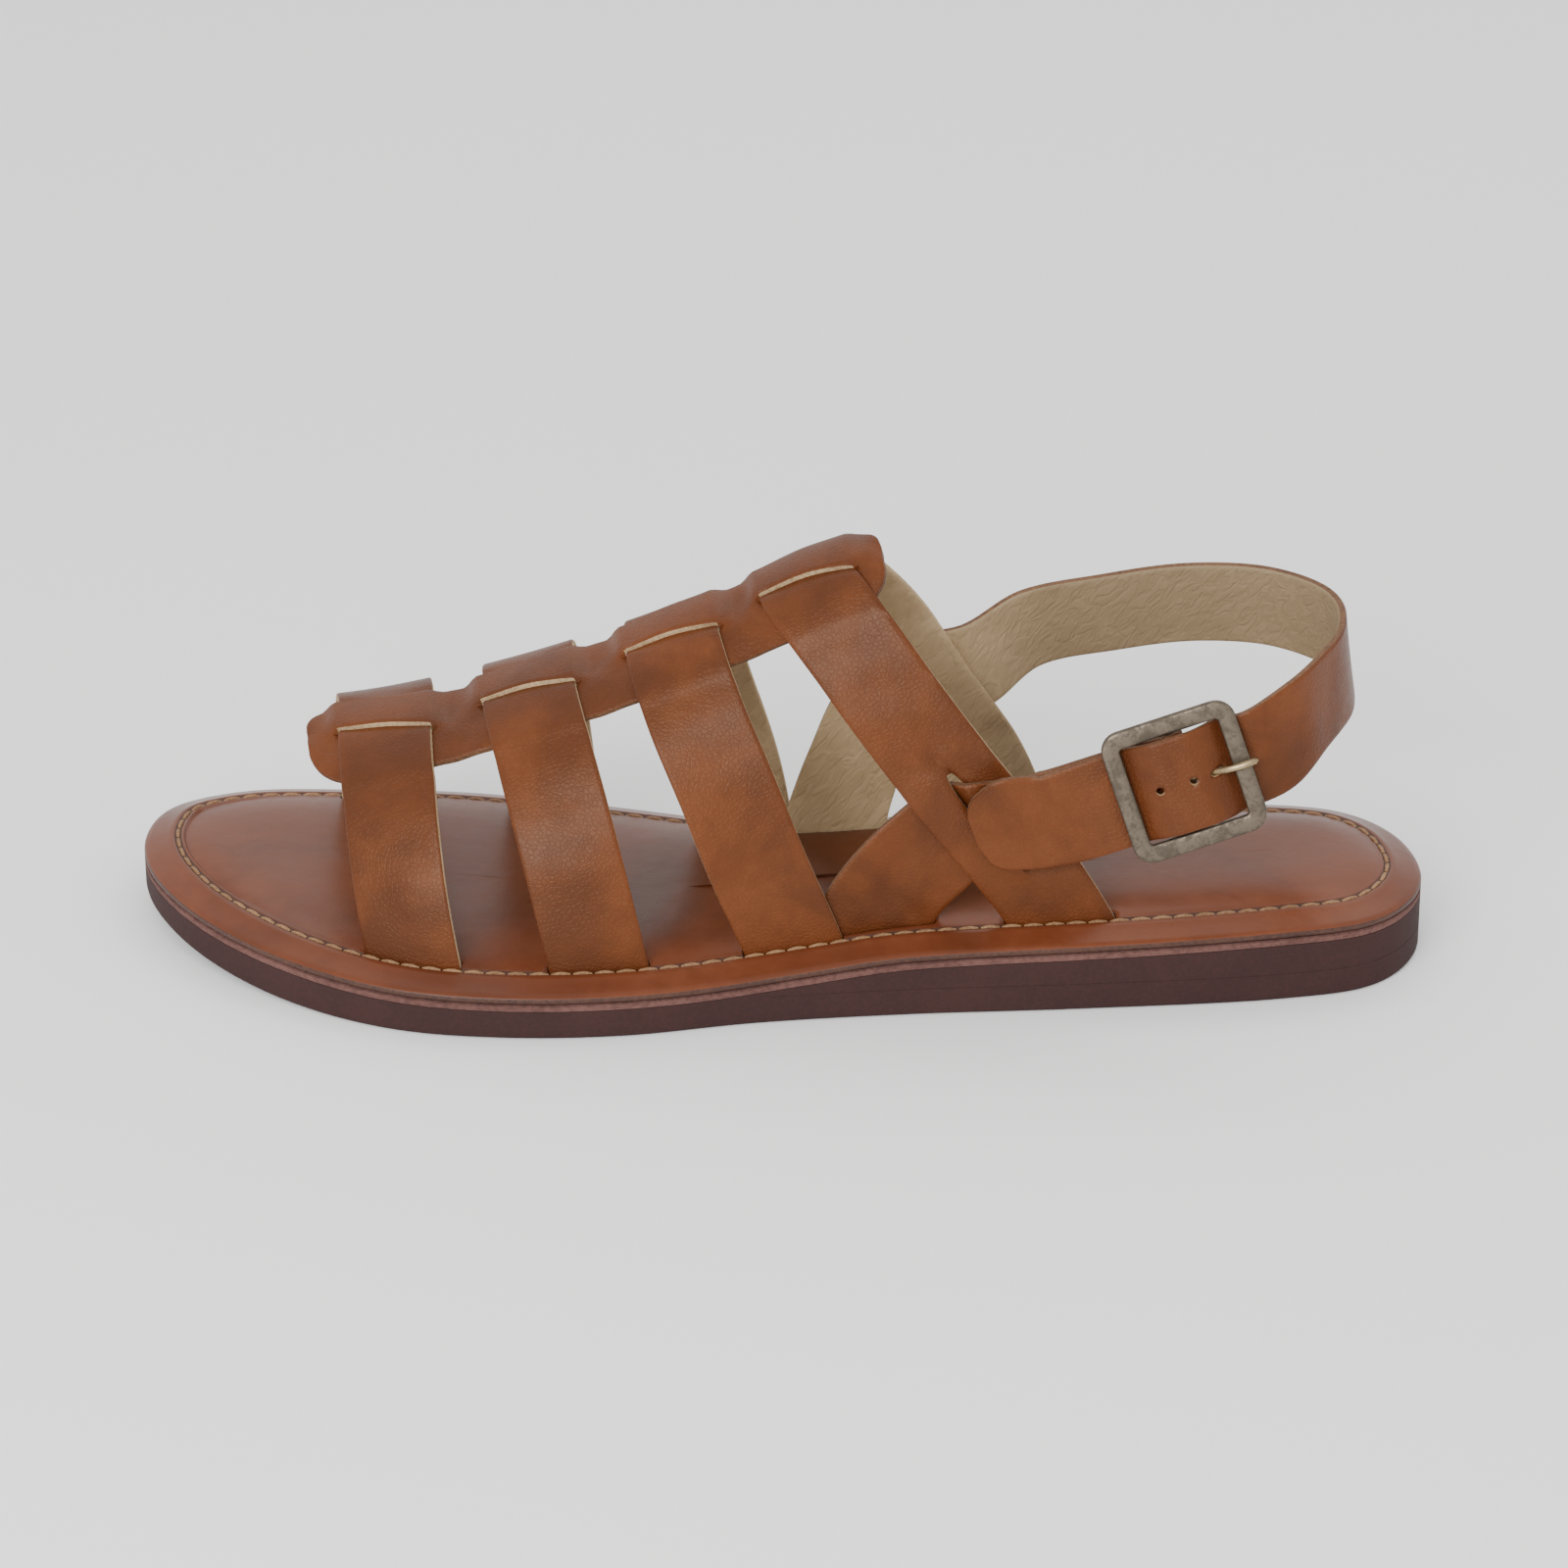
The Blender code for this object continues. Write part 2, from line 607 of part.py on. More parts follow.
def build_spine(collection):
    """Spine band with a slit down its middle and a raised inner half at every cross strap."""
    crossings = sorted(spine_crossings().values(), reverse=True)
    reach = {centre: SLIT_REACH / spine_stretch(centre) for centre in crossings}
    toe, heel = SPINE_TOE * LENGTH, SPINE_INSTEP * LENGTH
    stations = {toe, heel}
    for share in (0.12, 0.35, 0.65, 1.0):
        stations.add(toe - END_RADIUS * share)
        stations.add(heel + END_RADIUS * share)
    for centre in crossings:
        for share in (-1.0, -0.75, -0.4, 0.0, 0.4, 0.75, 1.0):
            stations.add(centre + reach[centre] * share)
    for front, rear in zip(crossings[:-1], crossings[1:]):
        stations.add((front + rear) / 2)
    stations = sorted(stations, reverse=True)
    kept = [stations[0]]
    for station in stations[1:]:
        if kept[-1] - station > 0.0011 or min(abs(abs(station - c) - reach[c]) for c in crossings) < 1e-9:
            kept.append(station)
    grid, skip = [], set()
    for r, row in enumerate(kept):
        near = min(crossings, key=lambda centre: abs(row - centre))
        along = (row - near) * spine_stretch(near)
        gap = SLIT_END_GAP + (SLIT_HALF_GAP - SLIT_END_GAP) * math.sqrt(max(0.0, 1 - (along / SLIT_REACH) ** 2))
        end = min(toe - row, row - heel)
        rounding = 1 - math.sqrt(max(0.0, 1 - (1 - min(1.0, end / END_RADIUS)) ** 2))
        narrow = 1 - rounding * END_RADIUS / SPINE_HALF
        bell = math.cos(min(1.0, abs(along) / HALF) * math.pi / 2) ** 2
        window = 1 - float(ease(abs(along), SLIT_REACH - 0.0002, SLIT_REACH + 0.0042))
        slack = SPINE_SLACK * (1 - window) if row > crossings[-1] else 0.0
        shift = -SLIT_SLANT * max(-SLIT_REACH, min(SLIT_REACH, along)) * (0.3 + 0.7 * window)
        line = []
        for side in (SPINE_HALF, 0.0085, 0.0045, gap, -gap, -0.0045, -0.0085, -SPINE_HALF):
            across = side * narrow + shift * (1 - abs(side) / SPINE_HALF)
            x = row + SPINE_SKEW * across
            turn = spine_turn(x, across)
            height = BRIDGE_LIFT * window + SWELL * bell if side < 0 else -MARGIN_DROP * window
            line.append(last_point(x, turn) + last_normal(x, turn) * (height - slack))
        grid.append(line)
    for r in range(len(kept) - 1):
        middle = (kept[r] + kept[r + 1]) / 2
        if min(abs(middle - centre) - reach[centre] for centre in crossings) < 0:
            skip.add((r, 3))
    return grid_sheet("upper", grid, collection, skip=skip)


def add_boolean(target, other, operation):
    cut = target.modifiers.new(other.name, "BOOLEAN")
    cut.operation = operation
    cut.solver = "EXACT"
    cut.object = other


class QuarterPath:
    """Surface that the two buckled straps follow: outer slot, slit, buckle, heel, slit, inner slot."""

    def __init__(self):
        crossing = (HALF, 0.5 * HALF, QUARTER_RAMP, -QUARTER_RAMP, -0.5 * HALF, -HALF)
        zone = np.linspace(BUCKLE_ZONE[0], BUCKLE_ZONE[1], 9)
        loop = np.vstack([zone, AFTER_BUCKLE])
        keys = [self.table_row(row) for row in OUTER_ROWS]
        outer = len(keys)
        keys += [self.slit_row(OUTER_SLIT, across, 1) for across in crossing]
        buckle = len(keys) + 4
        keys += self.loop_rows(loop)
        inner = len(keys)
        keys += [self.slit_row(INNER_SLIT, across, -1) for across in crossing[::-1]]
        keys += [self.table_row(row) for row in INNER_ROWS[::-1]]
        keys = np.array(keys)
        middle = keys.mean(axis=1)
        walked = np.concatenate([[0.0], np.cumsum(np.linalg.norm(np.diff(middle, axis=0), axis=1))])
        self.upper = np.column_stack([walked, keys[:, 0]])
        self.lower = np.column_stack([walked, keys[:, 1]])
        self.length = walked[-1]
        self.outer_crossing = walked[outer:outer + 6]
        self.inner_crossing = walked[inner:inner + 6]
        self.buckle = walked[buckle]

    @staticmethod
    def table_row(row):
        top_x, top_turn, low_x, low_turn = row
        return last_point(top_x * LENGTH, top_turn), last_point(low_x * LENGTH, low_turn)

    @staticmethod
    def slit_row(slit, across, side):
        strap = STRAPS["instep"]
        middle = quarter_middle(slit, across, side)
        return [last_point(*strap.surface(middle + side * HALF * end, across * (1 + QUARTER_FAN * end)))
                for end in (1, -1)]

    @staticmethod
    def loop_rows(table):
        rows = []
        centres = table[:, :3]
        for centre, ahead, lean in zip(centres, unit(np.gradient(centres, axis=0)), np.radians(table[:, 3])):
            outward = unit(np.cross(ahead, (0.0, 0.0, 1.0)))
            up = np.array((0.0, 0.0, math.cos(lean))) - outward * math.sin(lean)
            up = unit(up - ahead * np.dot(up, ahead))
            rows.append((centre + up * HALF, centre - up * HALF))
        return rows

    def middle(self, walked):
        return (smooth_rows(self.upper, walked)[0] + smooth_rows(self.lower, walked)[0]) / 2

    def row(self, walked, square=False):
        """Centre, width direction, half width and outward direction at a distance along the path."""
        width = smooth_rows(self.upper, walked)[0] - smooth_rows(self.lower, walked)[0]
        ahead = self.middle(min(self.length, walked + 0.0005)) - self.middle(max(0.0, walked - 0.0005))
        free = square or self.outer_crossing[-1] < walked < self.inner_crossing[0]
        half = HALF if free else np.linalg.norm(width) / 2
        if square:
            width = width - unit(ahead) * np.dot(unit(ahead), width)
        return self.middle(walked), unit(width), half, unit(np.cross(ahead, width))


PATH = QuarterPath()
INSIDE = FRONT_LIFT - PLY
OUTSIDE = PLY - REAR_DROP


def ribbon(name, line, collection, widths=None, thickness=LEATHER, extra=0.0, dip=0.0, square=(1.0, -1.0)):
    """Strap along the quarter path from rows of distance along it and height above it."""
    shares = (-1.0, -0.62, -0.2, 0.2, 0.62, 1.0)
    grid = []
    for n, (walked, height) in enumerate(line):
        centre, width, half, outward = PATH.row(walked, square[0] < walked < square[1])
        scale = 1.0 if widths is None else widths[n]
        reach = (half + extra) * scale
        grid.append([centre + outward * height + width * reach * share for share in shares])
    if dip:
        first = [point - (0.0, 0.0, dip) for point in grid[0]]
        grid.insert(0, first)
    return grid_sheet(name, grid, collection, thickness)


def build_heel_strap(collection):
    """Long strap from the inner slot round the heel to the rounded free end in the buckle."""
    start = (PATH.outer_crossing[2] + PATH.outer_crossing[3]) / 2 - BILLET_PAST_SLIT
    crossing = PATH.inner_crossing
    tip = [start + BILLET_TIP_RADIUS * share for share in (0.0, 0.04, 0.16, 0.38, 0.68, 1.0)]
    bends = [PATH.buckle + row[0] for row in BILLET_HUMP[1:]]
    bends += [PATH.buckle + extra for extra in (-0.0094, -0.0064, -0.0025, 0.0025, 0.0064, 0.0094)]
    marks = sorted(tip + bends) + list(crossing) + [PATH.length]
    rows = spread(marks, ROW_STEP)
    line, widths = [], []
    for walked in rows:
        height = float(smooth_rows(BILLET_HUMP, np.clip(walked - PATH.buckle, -0.05, 0.04))[0, 0])
        height += OUTSIDE * float(ease(walked, crossing[0] - 0.030, crossing[0]))
        height += (INSIDE - OUTSIDE) * float(np.clip((walked - crossing[2]) / (crossing[3] - crossing[2]), 0, 1))
        height += (-PLY - INSIDE) * float(ease(walked, crossing[5], PATH.length))
        from_tip = min(1.0, (walked - start) / BILLET_TIP_RADIUS)
        round_off = 1 - math.sqrt(max(0.0, 1 - (1 - from_tip) ** 2))
        line.append((walked, height))
        widths.append(1 - round_off * BILLET_TIP_RADIUS / HALF)
    return ribbon("heel_strap", line, collection, widths, square=(0.0, PATH.buckle))


def build_buckle_strap(collection):
    """Short strap from the outer slot through the slit, folded back round the buckle's bar."""
    crossing = PATH.outer_crossing
    fold_start = PATH.buckle + FOLD_OUT[0][0]
    rows = spread([0.0005] + list(crossing) + [fold_start], ROW_STEP)
    line = []
    for walked in rows[:-1]:
        height = -PLY + (INSIDE + PLY) * float(ease(walked, 0.0, crossing[0]))
        height += (OUTSIDE - INSIDE) * float(np.clip((walked - crossing[2]) / (crossing[3] - crossing[2]), 0, 1))
        line.append((walked, height))
    line += [(PATH.buckle + along, height) for along, height in FOLD_OUT]
    radius = BAR_RADIUS + FIT + LEATHER / 2
    for turn in np.radians(FOLD_TURNS):
        line.append((PATH.buckle + radius * math.cos(turn), BAR_LEVEL + radius * math.sin(turn)))
    line += [(PATH.buckle + along, height) for along, height in FOLD_BACK]
    return ribbon("buckle_strap", line, collection, square=(crossing[-1] + 0.001, PATH.length))


def buckle_point(along, height, across):
    """Point in the buckle's own frame: along the strap, out from it, and across it."""
    centre, width, _, outward = PATH.row(PATH.buckle)
    ahead = unit(np.cross(width, outward))
    return centre + ahead * along + outward * height + width * across


def prism(name, loop, low, high, collection):
    """Straight body on a closed loop of (along, across) points, standing out from the strap."""
    points = [buckle_point(along, height, across) for height in (low, high) for along, across in loop]
    count = len(loop)
    faces = [tuple(range(count))[::-1], tuple(range(count, 2 * count))]
    faces += [(i, (i + 1) % count, count + (i + 1) % count, count + i) for i in range(count)]
    thing = new_object(name, points, faces, collection)
    shift_to_row(thing)
    return thing


def rounded_loop(long_half, tall_half, radius, steps=5):
    loop = []
    for n, (side_a, side_b) in enumerate(((1, 1), (-1, 1), (-1, -1), (1, -1))):
        for step in range(steps):
            turn = math.radians(90 * n + 90 * step / (steps - 1))
            loop.append((side_a * (long_half - radius) + radius * math.cos(turn),
                         side_b * (tall_half - radius) + radius * math.sin(turn)))
    return loop


def oval_loop(start, end, half, steps=7):
    loop = []
    for n, (centre, first) in enumerate(((end - half, -90), (start + half, 90))):
        for step in range(steps):
            turn = math.radians(first + 180 * step / (steps - 1))
            loop.append((centre + half * math.cos(turn), half * math.sin(turn)))
    return loop


def tube(name, path, radius, sides, collection):
    """Round wire along (along, height) points at the buckle's middle, closed with flat ends."""
    path = np.array(path)
    ahead = unit(np.gradient(path, axis=0))
    points = []
    for (along, height), (step, rise) in zip(path, ahead):
        for k in range(sides):
            turn = 2 * math.pi * k / sides
            lift, across = radius * math.cos(turn), radius * math.sin(turn)
            points.append(buckle_point(along - rise * lift, height + step * lift, across))
    faces = []
    for r in range(len(path) - 1):
        for k in range(sides):
            a, b = r * sides + k, r * sides + (k + 1) % sides
            faces.append((a, a + sides, b + sides, b))
    last = (len(path) - 1) * sides
    faces += [tuple(range(sides)), tuple(range(last, last + sides))[::-1]]
    thing = new_object(name, points, faces, collection)
    shift_to_row(thing)
    return thing


def build_buckle(parts, tools):
    """Rounded frame with a lower centre bar on two short posts."""
    low, high = FRAME_LEVEL - BUCKLE_THICK / 2, FRAME_LEVEL + BUCKLE_THICK / 2
    outer = rounded_loop(BUCKLE_LONG / 2, BUCKLE_TALL / 2, BUCKLE_CORNER)
    inner = rounded_loop(BUCKLE_LONG / 2 - BAR, BUCKLE_TALL / 2 - BAR, INNER_CORNER, 3)
    frame = prism("buckle_frame", outer, low, high, parts)
    window = prism("buckle_window", inner, low - 0.001, high + 0.001, tools)
    add_boolean(frame, window, "DIFFERENCE")
    side = BUCKLE_TALL / 2 - BAR + 0.0014
    sides = 12
    points = []
    for across in (-side - 0.0008, side + 0.0008):
        for k in range(sides):
            turn = 2 * math.pi * (k + 0.5) / sides
            points.append(buckle_point(BAR_RADIUS * math.cos(turn), BAR_LEVEL + BAR_RADIUS * math.sin(turn), across))
    faces = [tuple(range(sides)), tuple(range(sides, 2 * sides))[::-1]]
    faces += [(k, k + sides, (k + 1) % sides + sides, (k + 1) % sides) for k in range(sides)]
    bar = new_object("buckle_bar", points, faces, tools)
    shift_to_row(bar)
    add_boolean(frame, bar, "UNION")
    for sign, name in ((1, "upper_post"), (-1, "lower_post")):
        loop = [(a * 0.0011, sign * side + b * 0.0010) for a, b in ((1, 1), (-1, 1), (-1, -1), (1, -1))]
        post = prism(name, loop, BAR_LEVEL - BAR_RADIUS - 0.0001, FRAME_LEVEL, tools)
        add_boolean(frame, post, "UNION")
    return frame


def build_pin(collection):
    ring = [(PIN_RING * math.cos(math.radians(turn)), BAR_LEVEL + PIN_RING * math.sin(math.radians(turn)))
            for turn in range(350, 90, -26)]
    shaft = [(along, BAR_LEVEL + height) for along, height in PIN_SHAFT]
    return tube("buckle_pin", ring + shaft, PIN_RADIUS, 10, collection)


def cut_straps(heel_strap, buckle_strap, tools):
    """Oval hole under the pin, two free holes in the strap's end, and the pin's slot in the fold."""
    start, end, half = PIN_SLOT
    add_boolean(heel_strap, prism("pin_hole", oval_loop(start, end, half), 0.001, 0.012, tools), "DIFFERENCE")
    for n, along in enumerate(BILLET_HOLES):
        loop = [(along + HOLE_RADIUS * math.cos(math.radians(turn)), HOLE_RADIUS * math.sin(math.radians(turn)))
                for turn in range(15, 375, 30)]
        hole = prism(f"free_hole_{n + 1}", loop, 0.0048, 0.0092, tools)
        add_boolean(heel_strap, hole, "DIFFERENCE")
    reach, half = FOLD_SLOT
    loop = [(a * reach, b * half) for a, b in ((1, 1), (-1, 1), (-1, -1), (1, -1))]
    add_boolean(buckle_strap, prism("fold_slot", loop, -0.003, 0.009, tools), "DIFFERENCE")


def cut_slots(insole, tools):
    """Slots in the insole for every strap end, a fit wider and thicker than the strap."""
    for name, strap in STRAPS.items():
        for side, rows in (("outer", (0.0, 0.004, 0.008)), ("inner", (1.0, 0.004, 0.008))):
            walks = [w if side == "outer" else strap.length - (0.0 if w == 1.0 else w) for w in rows]
            grid = []
            for walked in walks:
                places = [strap.surface(walked, share * (HALF + FIT)) for share in (-1.0, -0.33, 0.33, 1.0)]
                grid.append([last_point(x, turn) for x, turn in places])
            grid.insert(0, [point - (0.0, 0.0, 0.0015) for point in grid[0]])
            slot = grid_sheet(f"{name}_{side}_slot", grid, tools, LEATHER + 2 * FIT)
            add_boolean(insole, slot, "DIFFERENCE")
    lift = (INSIDE + PLY) / PATH.outer_crossing[0]
    for name, side in (("outer_quarter", 1), ("inner_quarter", -1)):
        walks = (0.0, 0.005, 0.010, 0.015)
        line = [(walked if side > 0 else PATH.length - walked, -PLY + 0.4 * lift * walked) for walked in walks]
        slot = ribbon(name + "_slot", line, tools, thickness=LEATHER + 2 * FIT, extra=FIT, dip=0.0015)
        add_boolean(insole, slot, "DIFFERENCE")


def new_collections():
    for thing in list(bpy.data.objects):
        bpy.data.objects.remove(thing, do_unlink=True)
    parts = bpy.data.collections.new("flat_leather_sandal")
    tools = bpy.data.collections.new("cutters")
    bpy.context.scene.collection.children.link(parts)
    bpy.context.scene.collection.children.link(tools)
    return parts, tools


FINISHES = {
    "outsole": ((0.075, 0.042, 0.036), 0.0, 0.75),
    "heel_wedge": ((0.085, 0.048, 0.040), 0.0, 0.75),
    "midsole": ((0.270, 0.160, 0.125), 0.0, 0.90),
    "insole": ((0.260, 0.110, 0.062), 0.0, 0.38),
    "upper": ((0.245, 0.092, 0.047), 0.0, 0.42),
    "heel_strap": ((0.250, 0.098, 0.052), 0.0, 0.45),
    "buckle_strap": ((0.250, 0.098, 0.052), 0.0, 0.45),
    "buckle_frame": ((0.230, 0.200, 0.160), 1.0, 0.45),
    "buckle_pin": ((0.380, 0.310, 0.200), 1.0, 0.38),
}


def add_finish(thing):
    colour, metal, rough = FINISHES[thing.name]
    material = bpy.data.materials.new(thing.name)
    material.use_nodes = True
    shader = material.node_tree.nodes["Principled BSDF"]
    shader.inputs["Base Color"].default_value = (*colour, 1.0)
    shader.inputs["Metallic"].default_value = metal
    shader.inputs["Roughness"].default_value = rough
    material.diffuse_color = (*colour, 1.0)
    thing.data.materials.append(material)


def main():
    parts, tools = new_collections()
    build_outsole(parts)
    build_wedge(parts)
    build_midsole(parts)
    insole = build_insole(parts)
    cut_slots(insole, tools)
    upper = build_spine(parts)
    for name in CROSS_STRAPS:
        add_boolean(upper, build_cross_strap(name, tools), "UNION")
    heel_strap = build_heel_strap(parts)
    buckle_strap = build_buckle_strap(parts)
    build_buckle(parts, tools)
    build_pin(parts)
    cut_straps(heel_strap, buckle_strap, tools)
    for thing in parts.objects:
        add_finish(thing)
    for thing in tools.objects:
        thing.hide_render = True
        thing.display_type = "WIRE"


main()
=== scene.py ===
"""Looks of a flat leather sandal: straps, stitched footbed, crumb rubber sole and antique buckle."""
import logging
import math
from dataclasses import dataclass
from enum import Enum

import bmesh
import bpy
import numpy as np
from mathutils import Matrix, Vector


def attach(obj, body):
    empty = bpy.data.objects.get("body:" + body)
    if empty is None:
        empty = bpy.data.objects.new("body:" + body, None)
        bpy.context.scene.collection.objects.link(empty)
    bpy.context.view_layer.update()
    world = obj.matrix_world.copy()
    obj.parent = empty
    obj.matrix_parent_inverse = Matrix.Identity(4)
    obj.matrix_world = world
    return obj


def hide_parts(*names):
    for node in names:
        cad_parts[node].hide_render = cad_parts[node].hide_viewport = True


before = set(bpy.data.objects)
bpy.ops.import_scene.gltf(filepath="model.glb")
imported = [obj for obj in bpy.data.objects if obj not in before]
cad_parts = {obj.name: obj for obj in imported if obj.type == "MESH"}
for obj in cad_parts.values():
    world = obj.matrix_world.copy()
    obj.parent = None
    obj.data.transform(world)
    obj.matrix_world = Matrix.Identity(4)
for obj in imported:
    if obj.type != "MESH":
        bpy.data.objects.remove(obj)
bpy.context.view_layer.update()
LOG = logging.getLogger("sandal")
Rows = tuple[tuple[float, ...], ...]
Triple = tuple[float, float, float]
Colour = Triple
Thing = bpy.types.Object
Materials = list[bpy.types.Material]
STRIDE = 0.002


@dataclass(frozen=True)
class Sizes:
    """Named sizes of the shoe, in metres."""

    length: float = 0.2925
    ball_width: float = 0.1030
    sole_sheet: float = 0.0066
    insole_edge: float = 0.0016
    midsole_band: float = 0.0015
    gap: float = 0.0003
    wedge_front: float = 0.490
    toe_spring: float = 0.0050
    spring_start: float = 0.80
    sole_round: float = 0.0012
    bevel: float = 0.0001
    bevel_rise: float = 0.00008
    stitch_in: float = 0.0078
    groove_width: float = 0.0010
    groove_depth: float = 0.0005
    rim_rise: float = 0.0024
    pad_rise: float = 0.0019
    leather: float = 0.0018
    half: float = 0.0108
    slot_in: float = 0.0093
    spine_half: float = 0.0122
    slit_half: float = 0.0014
    slit_end: float = 0.0002
    slit_reach: float = 0.0111
    slit_slant: float = 0.15
    slack: float = 0.0010
    climb_start: float = 0.0045
    climb_end: float = 0.0006
    margin_drop: float = 0.0009
    bridge_lift: float = 0.0009
    over: float = 0.0006
    swell: float = 0.0007
    skew: float = -0.20
    end_radius: float = 0.0090
    quarter_slit_half: float = 0.0016
    quarter_slit_tip: float = 0.0004
    quarter_slit: float = 0.0256
    quarter_ramp: float = 0.0012
    quarter_sag: float = 0.0008
    quarter_dip: float = 0.0050
    quarter_fan: float = 0.20
    front_lift: float = 0.0006
    rear_drop: float = 0.0009
    outer_slit: float = 0.0350
    inner_slit_back: float = 0.0470

    @property
    def ply(self) -> float:
        """Height from one leather layer's middle to the next."""
        return self.leather + self.gap

    @property
    def front(self) -> float:
        """Station of the heel wedge's front."""
        return self.wedge_front * self.length

    @property
    def inside(self) -> float:
        """Height of a buckled strap's middle on the inner face of the instep strap."""
        return self.front_lift - self.ply

    @property
    def outside(self) -> float:
        """Height of a buckled strap's middle on the outer face of the instep strap."""
        return self.ply - self.rear_drop


@dataclass(frozen=True)
class BuckleSizes:
    """Named sizes of the buckle, in metres."""

    long: float = 0.0305
    tall: float = 0.0308
    bar: float = 0.0040
    thick: float = 0.0020
    corner: float = 0.0045
    inner_corner: float = 0.0008
    bar_radius: float = 0.0009
    pin_radius: float = 0.0008
    bar_level: float = 0.0028
    level: float = 0.0055
    hole_radius: float = 0.0009
    holes: tuple[float, float] = (-0.0055, 0.0022)
    hole_low: float = 0.0048
    hole_high: float = 0.0092
    pin_hole: float = 0.0076
    pin_hole_long: float = 0.0006
    pin_hole_radius: float = 0.0008
    pin_hole_low: float = 0.001
    pin_hole_high: float = 0.012
    post_long: float = 0.0011
    post_wide: float = 0.0010
    tip_radius: float = 0.0092
    past_slit: float = 0.0036
    ring: float = 0.0019


S = Sizes()
B = BuckleSizes()

# station from the heel as a share of the length, side as a share of the ball width
OUTLINE: Rows = (
    (0.000, -0.130), (0.010, 0.010), (0.040, 0.118), (0.105, 0.188), (0.260, 0.270),
    (0.390, 0.325), (0.500, 0.388), (0.600, 0.470), (0.690, 0.499), (0.775, 0.478),
    (0.870, 0.360), (0.945, 0.185), (0.988, 0.000), (1.000, -0.160), (0.988, -0.300),
    (0.935, -0.420), (0.850, -0.477), (0.760, -0.500), (0.650, -0.460), (0.540, -0.400),
    (0.400, -0.378), (0.250, -0.415), (0.130, -0.448), (0.060, -0.418), (0.020, -0.315),
)
# station share, height of the insole's edge
RIM: Rows = (
    (0.00, 0.0172), (0.12, 0.0170), (0.22, 0.0161), (0.35, 0.0152), (0.40, 0.0145), (0.46, 0.0124),
    (0.52, 0.0106), (0.60, 0.0103), (0.72, 0.0103), (0.82, 0.0110), (0.92, 0.0126), (1.00, 0.0143),
)
# share of the way from the stitches to the middle, share of the pad's rise
PAD: Rows = ((0.0, 0.0), (0.10, 0.36), (0.26, 0.74), (0.50, 0.96), (0.78, 1.0), (1.0, 1.0))
# station share, side of the last's ridge, height of the ridge, fullness of the section
LAST: Rows = (
    (0.20, -0.0090, 0.1090, 2.20), (0.36, -0.0090, 0.1035, 2.20), (0.44, -0.0090, 0.0960, 2.15),
    (0.52, -0.0085, 0.0855, 2.10), (0.60, -0.0080, 0.0750, 2.05), (0.70, -0.0080, 0.0631, 2.05),
    (0.80, -0.0080, 0.0540, 2.05), (0.90, -0.0080, 0.0490, 2.05),
)
# turn over the last from the outer slot, station share of the strap's centre
CROSS_STRAPS: dict[str, Rows] = {
    "toe": ((0, 0.759), (25, 0.773), (50, 0.785), (72, 0.795), (92, 0.802), (115, 0.811), (145, 0.819),
            (180, 0.820)),
    "ball": ((0, 0.618), (20, 0.635), (36, 0.650), (54, 0.667), (75, 0.684), (92, 0.691), (115, 0.694),
             (145, 0.692), (180, 0.684)),
    "arch": ((0, 0.472), (16, 0.502), (31, 0.525), (51, 0.553), (74, 0.574), (92, 0.582), (115, 0.577),
             (142, 0.561), (170, 0.534), (180, 0.527)),
    "instep": ((0, 0.269), (9, 0.304), (20, 0.347), (38, 0.402), (51, 0.432), (62, 0.453), (75, 0.472),
               (92, 0.482), (107, 0.479), (121, 0.459), (142, 0.417), (156, 0.385), (170, 0.345),
               (180, 0.322)),
}
# station share, turn of the spine band's centre line
SPINE_TURN: Rows = ((0.40, 77.0), (0.48, 75.5), (0.58, 74.5), (0.69, 74.0), (0.80, 72.0), (0.87, 71.0))
SPINE_TOE = 0.857
SPINE_INSTEP = 0.4165
# places from a strap's middle to its edge, as shares of its half width
HALF_SHARES = (0.15, 0.3, 0.45, 0.6, 0.75, 0.9, 0.965, 1.0)
ACROSS = np.array([-share for share in HALF_SHARES[::-1]] + [0.0] + list(HALF_SHARES))
# upper edge station and turn, lower edge station and turn
OUTER_ROWS: Rows = ((0.4780, 0.0, 0.3770, 0.0), (0.4420, 11.5, 0.3640, 3.6))
INNER_ROWS: Rows = ((0.5080, 180.0, 0.4210, 180.0), (0.4800, 163.5, 0.4130, 173.5))
# middle of the strap round the heel: station, side, height, lean in degrees
BUCKLE_ZONE: Rows = ((0.0700, 0.0203, 0.0489, 11.0), (0.0390, 0.0167, 0.0597, 10.0))
AFTER_BUCKLE: Rows = (
    (0.0285, 0.0108, 0.0662, 4.0), (0.0196, -0.0040, 0.0705, 6.0), (0.0216, -0.0210, 0.0722, 11.0),
    (0.0350, -0.0320, 0.0730, 14.0), (0.0530, -0.0358, 0.0721, 15.0), (0.0720, -0.0362, 0.0688, 15.0),
    (0.0900, -0.0348, 0.0645, 14.0),
)
# distance from the buckle's bar, height over the quarter path
BILLET_HUMP: Rows = (
    (-0.0500, 0.0040), (-0.0300, 0.0040), (-0.0190, 0.0036), (-0.0130, 0.0033), (-0.0108, 0.0034),
    (-0.0078, 0.0052), (-0.0050, 0.0067), (0.0000, 0.00705), (0.0050, 0.0067), (0.0078, 0.0052),
    (0.0108, 0.0030), (0.0130, 0.0025), (0.0180, 0.0022), (0.0400, 0.0000),
)
FOLD_OUT: Rows = ((-0.0150, 0.0012), (-0.0100, 0.00125), (-0.0074, 0.0022), (-0.0048, 0.0036))
FOLD_BACK: Rows = ((-0.0030, 0.00045), (-0.0060, -0.00035), (-0.0090, -0.00085), (-0.0150, -0.0009))
